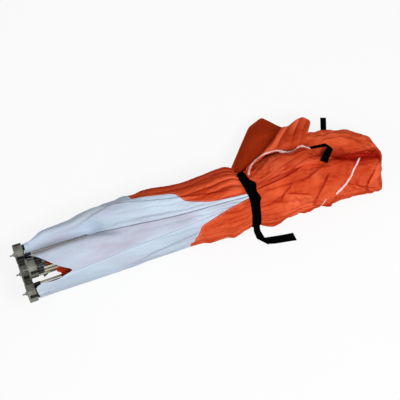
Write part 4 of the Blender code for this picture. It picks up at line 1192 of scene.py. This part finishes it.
# lean 0 looks straight down; a larger lean looks from the front as well, through the place at a height of 0.1.
def cloth(tree, x, y, lean):
    hit = tree.ray_cast(Vector((x, y - 0.3 * lean, 0.4)), Vector((0, lean, -1)))
    return tuple(hit[0]) if hit[0] is not None else (x, y, 0.0)


bundleTree = surfaceOf(wrapPiece, skirtPiece)
foldTree = surfaceOf(wrapPiece, skirtPiece, smallPiece)


# How far each place of a path is from its start, along it.
def runOf(path):
    return np.concatenate([[0], np.cumsum(np.linalg.norm(np.diff(path, axis=0), axis=1))])


# Rows of values at the given places along a path, smoothly between those given at its knots.
def carried(values, lengths, places):
    values = np.array(values, float)
    return np.stack([through(np.stack([lengths, column], 1), places) for column in values.T], 1)


# Points evenly spaced along a smooth line through knots.
def smoothPath(knots, count):
    lengths = runOf(np.array(knots, float))
    dense = carried(knots, lengths, np.linspace(0, lengths[-1], count * 6))
    run = runOf(dense)
    wanted = np.linspace(0, run[-1], count)
    return np.stack([np.interp(wanted, run, column) for column in dense.T], 1)


# A closed section carried along a path, with one face over each end; sideways is the UV's value across it.
def carriedPiece(name, points, sideways, path, material):
    uv = np.stack(np.broadcast_arrays(sideways[None, :], runOf(path)[:, None]), -1)
    rows, columns = points.shape[:2]

    def capped(work):
        work.verts.ensure_lookup_table()
        work.faces.new([work.verts[i] for i in range(columns)])
        work.faces.new([work.verts[(rows - 1) * columns + i] for i in reversed(range(columns))])

    piece = gridPiece(name, points, closed=True, uv=uv)
    rework(piece, capped, 40)
    return dress(piece, material)


tape = {"thick": 0.0012, "count": 90, "across": 7, "bridged": 4}
webbingSection = {"thick": 0.0018, "across": 7}


# Flat webbing: a section with rounded edges, carried along a path with its across direction and its normal.
def band(name, path, side, normal, width):
    half = width / 2
    edge = webbingSection["thick"] / 2
    flat = np.linspace(-1, 1, webbingSection["across"]) * (1 - edge / half)
    section = np.array([(half * a, edge) for a in flat] + [(half, 0.0)] + [(half * a, -edge) for a in -flat]
                       + [(-half, 0.0)])
    points = path[:, None, :] + side[:, None, :] * section[None, :, :1] + normal[:, None, :] * section[None, :, 1:]
    return carriedPiece(name, points, section[:, 0], path, webbing)


# Tape that follows the cloth below it: each of its points is set on the surface under its place in plan, or on
# the mean of the heights along it where the cloth dips.
def layOn(tree, name, plan, width, material, lean, lift):
    path = smoothPath(plan, tape["count"])
    path[:, 0] += hubRow
    along = unit(np.gradient(path, axis=0))
    side = np.stack([along[:, 1], -along[:, 0]], 1)
    u = np.linspace(-1, 1, tape["across"])
    low = np.array([[cloth(tree, *(centre + out * (width / 2) * a), lean) for a in u]
                    for centre, out in zip(path, side)])
    beyond = tape["bridged"]
    padded = np.concatenate([low[:1, :, 2]] * beyond + [low[:, :, 2]] + [low[-1:, :, 2]] * beyond, 0)
    low[:, :, 2] = np.maximum(low[:, :, 2], np.mean([padded[k:k + len(path)] for k in range(2 * beyond + 1)], 0))
    up = unit(np.array([0, -lean, 1.0]))
    top = low + up * (lift + tape["thick"] * (1 - u ** 4)[None, :, None])
    bottom = (low + up * (lift * 0.4))[:, ::-1]
    sideways = np.concatenate([u, u[::-1]]) * width / 2
    return carriedPiece(name, np.concatenate([top, bottom], 1), sideways, path, material)


# Seam binding: white and faded pink tape with a fine twill, picked up here and there by the orange.
def bindingMaterial():
    g = Graph("binding_tape")
    twill = g.wave(g.cloth(), "DIAGONAL", 160.0)
    stain = g.noise(g.place(), 45.0, 3.0)
    colour = g.mix(stain.over(0.35, 0.7), (0.88, 0.66, 0.66), (0.84, 0.38, 0.3))
    return g.finish(Base_Color=colour, Roughness=0.6 + stain * 0.1, Normal=g.bump(twill, 0.0003, 0.5),
                    Sheen_Weight=0.2, Sheen_Roughness=0.4)


binding = bindingMaterial()
# cloth below, places over the plan, width, lean, height above the cloth
bindings = [
    ("binding_back", foldTree, [(0.853, 0.064), (0.862, 0.08), (0.876, 0.096), (0.904, 0.114), (0.936, 0.121),
                                (0.966, 0.12), (1.000, 0.106), (1.029, 0.098), (1.06, 0.104), (1.094, 0.08)],
     0.006, 0, 0.001),
    ("binding_front", bundleTree, [(1.243, -0.008), (1.225, -0.028), (1.205, -0.046), (1.195, -0.058), (1.15, -0.083),
                                   (1.128, -0.092)], 0.0058, 0, 0.0024),
    ("binding_hem", bundleTree, [(1.089, -0.0635), (1.0754, -0.0825), (1.062, -0.1133)], 0.0045, 1, 0.001),
]
for name, tree, plan, width, lean, lift in bindings:
    settle(layOn(tree, name, plan, width, binding, lean, lift), "orange_cloth")
print("bindings laid")


strapBand = {
    "width": 0.031, "outerWidth": 0.03, "rest": 0.003, "over": 0.0026, "knot": 0.004, "count": 260, "section": 0.83,
    "middle": 0.1, "lowest": 0.0022, "sway": 0.0005, "tilt": 0.05, "gap": 0.01,
    # the angles of the knot's two lumps, and their width
    "lumps": (-0.13, 0.376), "lumpWidth": 0.16,
    # the left edge by the angle from the top; the front is at a quarter turn
    "edge": [(-3.15, 0.812), (-1.57, 0.8115), (-1.13, 0.8127), (-0.42, 0.8164), (-0.09, 0.821), (0.3, 0.8255),
             (0.74, 0.8211), (1.35, 0.8152), (1.9, 0.814), (3.15, 0.812)],
    # the end that passes over it once more, knotted on the way
    "outer": [(-0.75, 0.814), (-0.42, 0.8185), (-0.13, 0.835), (0.06, 0.83), (0.376, 0.835), (0.558, 0.8275),
              (1.0, 0.8205), (1.57, 0.817), (1.95, 0.816)],
}


# The band follows the bundle's section at the strap, at the given distance off it, between two angles.
def strapRing(name, offset, edge, fromAngle, toAngle, width, seed, swell=0.0):
    b = strapBand
    phi = np.linspace(fromAngle, toAngle, b["count"])
    x = through(edge, phi) + width / 2
    y, z = superellipse(x * 0 + b["section"], phi, wrap["shape"])
    path = np.stack([x, y, z], 1)
    along = unit(np.gradient(path * [0, 1, 1], axis=0))
    side = np.tile([1.0, 0, 0], (len(phi), 1))
    normal = unit(np.cross(side, along))
    normal = normal * np.sign(((path - [0, 0, b["middle"]]) * normal)[:, 1:].sum(1))[:, None]
    lumps = swell * sum(hump(phi, place, b["lumpWidth"]) for place in b["lumps"])
    path = path + normal * (offset + lumps + b["sway"] * ripple(phi, 0, seed, 8, 1.2, 1.0))[:, None]
    path[:, 2] = np.maximum(path[:, 2], b["lowest"])
    side = unit(side + b["tilt"] * normal * ripple(phi, 0, seed + 1, 8, 2.0, 1.0)[:, None])
    return band(name, toFrame(path), side, normal, width)


ring = strapRing("strap_band", strapBand["rest"], strapBand["edge"], -math.pi, math.pi - strapBand["gap"],
                 strapBand["width"], 51)
settle(ring, "black_webbing", "strap")
ringEnd = strapRing("strap_band_outer", strapBand["rest"] + strapBand["over"], strapBand["outer"],
                    strapBand["outer"][0][0], strapBand["outer"][-1][0], strapBand["outerWidth"], 53, strapBand["knot"])
settle(ringEnd, "black_webbing")


# Webbing along a free path; its across direction, and its normal where given, run smoothly between the knots'
# own. Across directions that aren't of length 1 make the webbing look turned, wider or narrower.
def ribbonPiece(name, knots, sideways, width, count, normals=None):
    lengths = runOf(np.array(knots, float))
    run = np.linspace(0, lengths[-1], count)
    path = carried(knots, lengths, run)
    side = carried(sideways, lengths, run)
    if normals is None:
        normal = unit(np.cross(side, np.gradient(path, axis=0)))
    else:
        normal = unit(carried(normals, lengths, run))
    return band(name, toFrame(path), side, normal, width)


strapTail = {
    "width": 0.03, "count": 420,
    "path": [(0.829, -0.0945, 0.112), (0.8295, -0.0962, 0.08), (0.8305, -0.0962, 0.045), (0.8325, -0.0978, 0.018),
             (0.8345, -0.102, 0.005), (0.8365, -0.112, 0.0022), (0.8396, -0.135, 0.002), (0.8402, -0.1364, 0.0032),
             (0.8408, -0.1356, 0.0044), (0.86, -0.1402, 0.0044), (0.88, -0.1438, 0.0026), (0.92, -0.1502, 0.002),
             (0.9553, -0.1557, 0.0022)],
    "side": [(0.8, 0, 0), (0.8, 0, 0), (0.8, 0, 0), (0.8, 0, 0), (0.82, 0, 0), (0.9, -0.2, 0), (1.05, -1.127, 0),
             (1.05, -1.127, 0), (1.05, -1.127, 0), (0.42, -1.0, 0), (0.17, -1.0, 0), (0.15, -1.0, 0), (0.12, -1.05, 0)],
    "normal": [(0, -1, 0.1), (0, -1, 0.1), (0, -1, 0.1), (0, -1, 0.4), (0, -0.6, 1), (0, -0.1, 1), (0, 0, 1),
               (-0.73, -0.68, 0), (0, 0, -1), (0, 0, -1), (0, 0, -1), (0, 0, -1), (0, 0, -1)],
}
tail = ribbonPiece("strap_free_end", strapTail["path"], strapTail["side"], strapTail["width"], strapTail["count"],
                   strapTail["normal"])
settle(tail, "black_webbing", "strap_tail")

tabs = {
    "tab_upright_webbing": ("tab_upright", 0.021,
                            [(1.161, 0.13, 0.12), (1.164, 0.141, 0.139), (1.166, 0.15, 0.153), (1.17, 0.164, 0.166),
                             (1.174, 0.179, 0.178)],
                            [(0.93, -0.36, 0)] * 5),
    "tab_bent_webbing": ("tab_bent", 0.027,
                         [(1.09, 0.083, 0.1893), (1.125, 0.0768, 0.1945), (1.15, 0.0703, 0.1995),
                          (1.153, 0.0583, 0.2045), (1.135, 0.0363, 0.2075), (1.115, 0.0133, 0.2065)],
                         [(0, 0.62, -0.78), (0, 0.66, -0.75), (-0.2, 0.7, -0.68), (-0.5, 0.66, -0.55),
                          (-0.75, 0.62, -0.22), (-0.79, 0.61, 0)]),
}
for name, (node, width, path, sides) in tabs.items():
    settle(ribbonPiece(name, path, sides, width, 90), "black_webbing", node)
print("strap and tabs made")


# Wall cloth, folded inside each umbrella as half a wall each

wallHalf = {"reach": 0.9, "start": 0.047, "roofStart": 0.078, "inset": 0.004, "half": 0.012, "level": 0.0217,
            "pleat": 0.0024, "pleats": 9, "turn": 179.5, "rows": 70, "columns": 150, "corner": 1.273}

# How far each half reaches from its hub to the two edges of the cube that it passes, in the order it opens. The
# reach ends at the corner's distance from the hub, clear of the corner's fitting.
wallReach = {
    "left_wall": {"near_half": (0.939, 0.914), "far_half": (0.948, 0.961)},
    "front_wall": {"near_half": (0.955, 0.922), "far_half": (0.905, 0.963)},
    "right_wall": {"near_half": (0.932, 0.94), "far_half": (0.953, 0.927)},
    "back_wall": {"near_half": (0.946, 0.964), "far_half": (0.921, 0.922)},
    "roof": {"near_half": (0.942, 0.93), "far_half": (0.918, 0.937)},
}


# Rows run out from the hub, columns round it. At rest a column's place across the pack is the share t whose
# smooth step t*t*(3 - 2t) is the share of the turn it makes, so that it ends at its own angle when open.
def foldWallCloth(wall, halfName):
    h = wallHalf
    joint = joints[wall + "_cloth_turn_" + halfName]
    corner = joint["parent"][len(wall + "_rod_"):]
    pin = np.array(joints[wall + "_pin_" + corner]["pos_m"], float)
    pivot = np.array(joint["pos_m"], float)
    radial = -np.array(joint["axis"], float)
    out = unit(pin - pivot)
    across = np.cross(out, radial)
    share = np.linspace(0, 1, h["columns"])[None, :]
    t = 0.5 - np.sin(np.arcsin(1 - 2 * share) / 3)
    theta = np.radians(share * h["turn"])
    first, second = wallReach[wall][halfName]
    eighth = math.pi / 4     # from the rod it opens from to the nearest edge of the cube
    reach = np.minimum(first / np.maximum(np.cos(theta - eighth), 0.05),
                       second / np.maximum(np.sin(theta - eighth), 0.05))
    reach = np.minimum(reach, h["corner"])
    s = np.linspace(0, 1, h["rows"])[:, None]
    start = h["roofStart"] if wall == "roof" else h["start"]
    r = start + (reach - h["inset"] - start) * s
    level = -h["level"] + h["pleat"] * np.cos(2 * math.pi * h["pleats"] * t + 0 * r) * (0.4 + 0.6 * s)
    wide = -h["half"] + 2 * h["half"] * t
    points = (pivot + out * r[..., None] + radial * level[..., None] + across * (wide + 0 * r)[..., None])
    turned = theta + (math.pi if halfName == "far_half" else 0.0) - eighth
    u = r * np.cos(turned) / h["reach"]
    v = r * np.sin(turned) / h["reach"]
    diamond = (np.abs(u) + np.abs(v) - 1.0) * h["reach"] / math.sqrt(2)
    if wall == "roof":
        diamond = diamond * 0 + 0.3
    # painted shade along the pleats' folds
    paintedShade = 0.35 * hump(np.sin(math.pi * h["pleats"] * t) + 0 * r, 0, 0.12)
    piece = gridPiece(wall + "_" + halfName + "_cloth", points, uv=np.stack([u, v], -1),
                      values={"seam": diamond, "paintedShade": paintedShade})
    dress(piece, wrapCloth)
    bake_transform(piece)
    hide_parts(wall + "_cloth_" + halfName)
    area = sheetArea(piece)
    return area


for wall in walls:
    for halfName in ("near_half", "far_half"):
        area = foldWallCloth(wall, halfName)
print("wall cloth folded:", round(area, 3), "square metres a half")


# Floor, light and camera

floorLook = {"size": 400.0, "colour": (0.86, 0.86, 0.87), "ownWhite": 0.86}


# A pale floor that keeps soft shadows: part of what the camera sees of it is its own white.
def plainFloor():
    size = floorLook["size"]
    mesh = bpy.data.meshes.new("floor")
    mesh.from_pydata([(-size, -size, 0), (size, -size, 0), (size, size, 0), (-size, size, 0)], [], [(0, 1, 2, 3)])
    g = Graph("floor_white")
    seen = g.node("Light Path", output="Is Camera Ray")
    for ray in ("Is Glossy Ray", "Is Transmission Ray"):
        seen = g.node("Math", {"operation": "ADD", "use_clamp": True}, {0: seen, 1: g.node("Light Path", output=ray)})
    diffuse = g.node("Diffuse", None, {"Color": floorLook["colour"]})
    glow = g.node("Emission", None, {"Color": (1.0, 1.0, 1.0), "Strength": 1.0})
    both = g.node("Mix Shader", None, {0: seen * floorLook["ownWhite"], 1: diffuse, 2: glow})
    g.tree.links.new(both.socket, g.tree.nodes["Material Output"].inputs["Surface"])
    dress(linked("floor", mesh), g.material)


def lamp(name, place, size, power):
    light = bpy.data.lights.new(name, "AREA")
    light.shape = "DISK"
    light.size = size
    light.energy = power
    holder = linked(name, light)
    holder.location = place
    holder.rotation_euler = (Vector(studio["target"]) - Vector(place)).to_track_quat("-Z", "Y").to_euler()


# lamps: name, place, size, power
studio = {"world": 0.42, "target": (0.25, 0, 0.1),
          "lamps": [("key", (1.0, -1.3, 2.6), 1.1, 46.0), ("fill", (-1.6, -0.8, 2.2), 1.6, 11.0)]}
plainFloor()
world = bpy.data.worlds.new("studio")
world.use_nodes = True
background = world.node_tree.nodes["Background"]
background.inputs["Color"].default_value = (1, 1, 1, 1)
background.inputs["Strength"].default_value = studio["world"]
bpy.context.scene.world = world
for row in studio["lamps"]:
    lamp(*row)

view = {"right": (0.9455, -0.3256, 0.0), "up": (0.3096, 0.8992, 0.309), "target": (0.2484, 0.0545, 0.1),
        "away": 8.0, "wide": 1.42}
right = Vector(view["right"]).normalized()
up = Vector(view["up"])
up = (up - right * up.dot(right)).normalized()
back = right.cross(up)
camera = linked("camera", bpy.data.cameras.new("camera"))
camera.matrix_world = Matrix.Translation(Vector(view["target"]) + back * view["away"]) @ Matrix(
    (right, up, back)).transposed().to_4x4()
camera.data.sensor_width = 36.0
camera.data.lens = camera.data.sensor_width * view["away"] / view["wide"]
bpy.context.scene.camera = camera
bpy.context.scene.view_settings.view_transform = "Standard"
print("stage set")
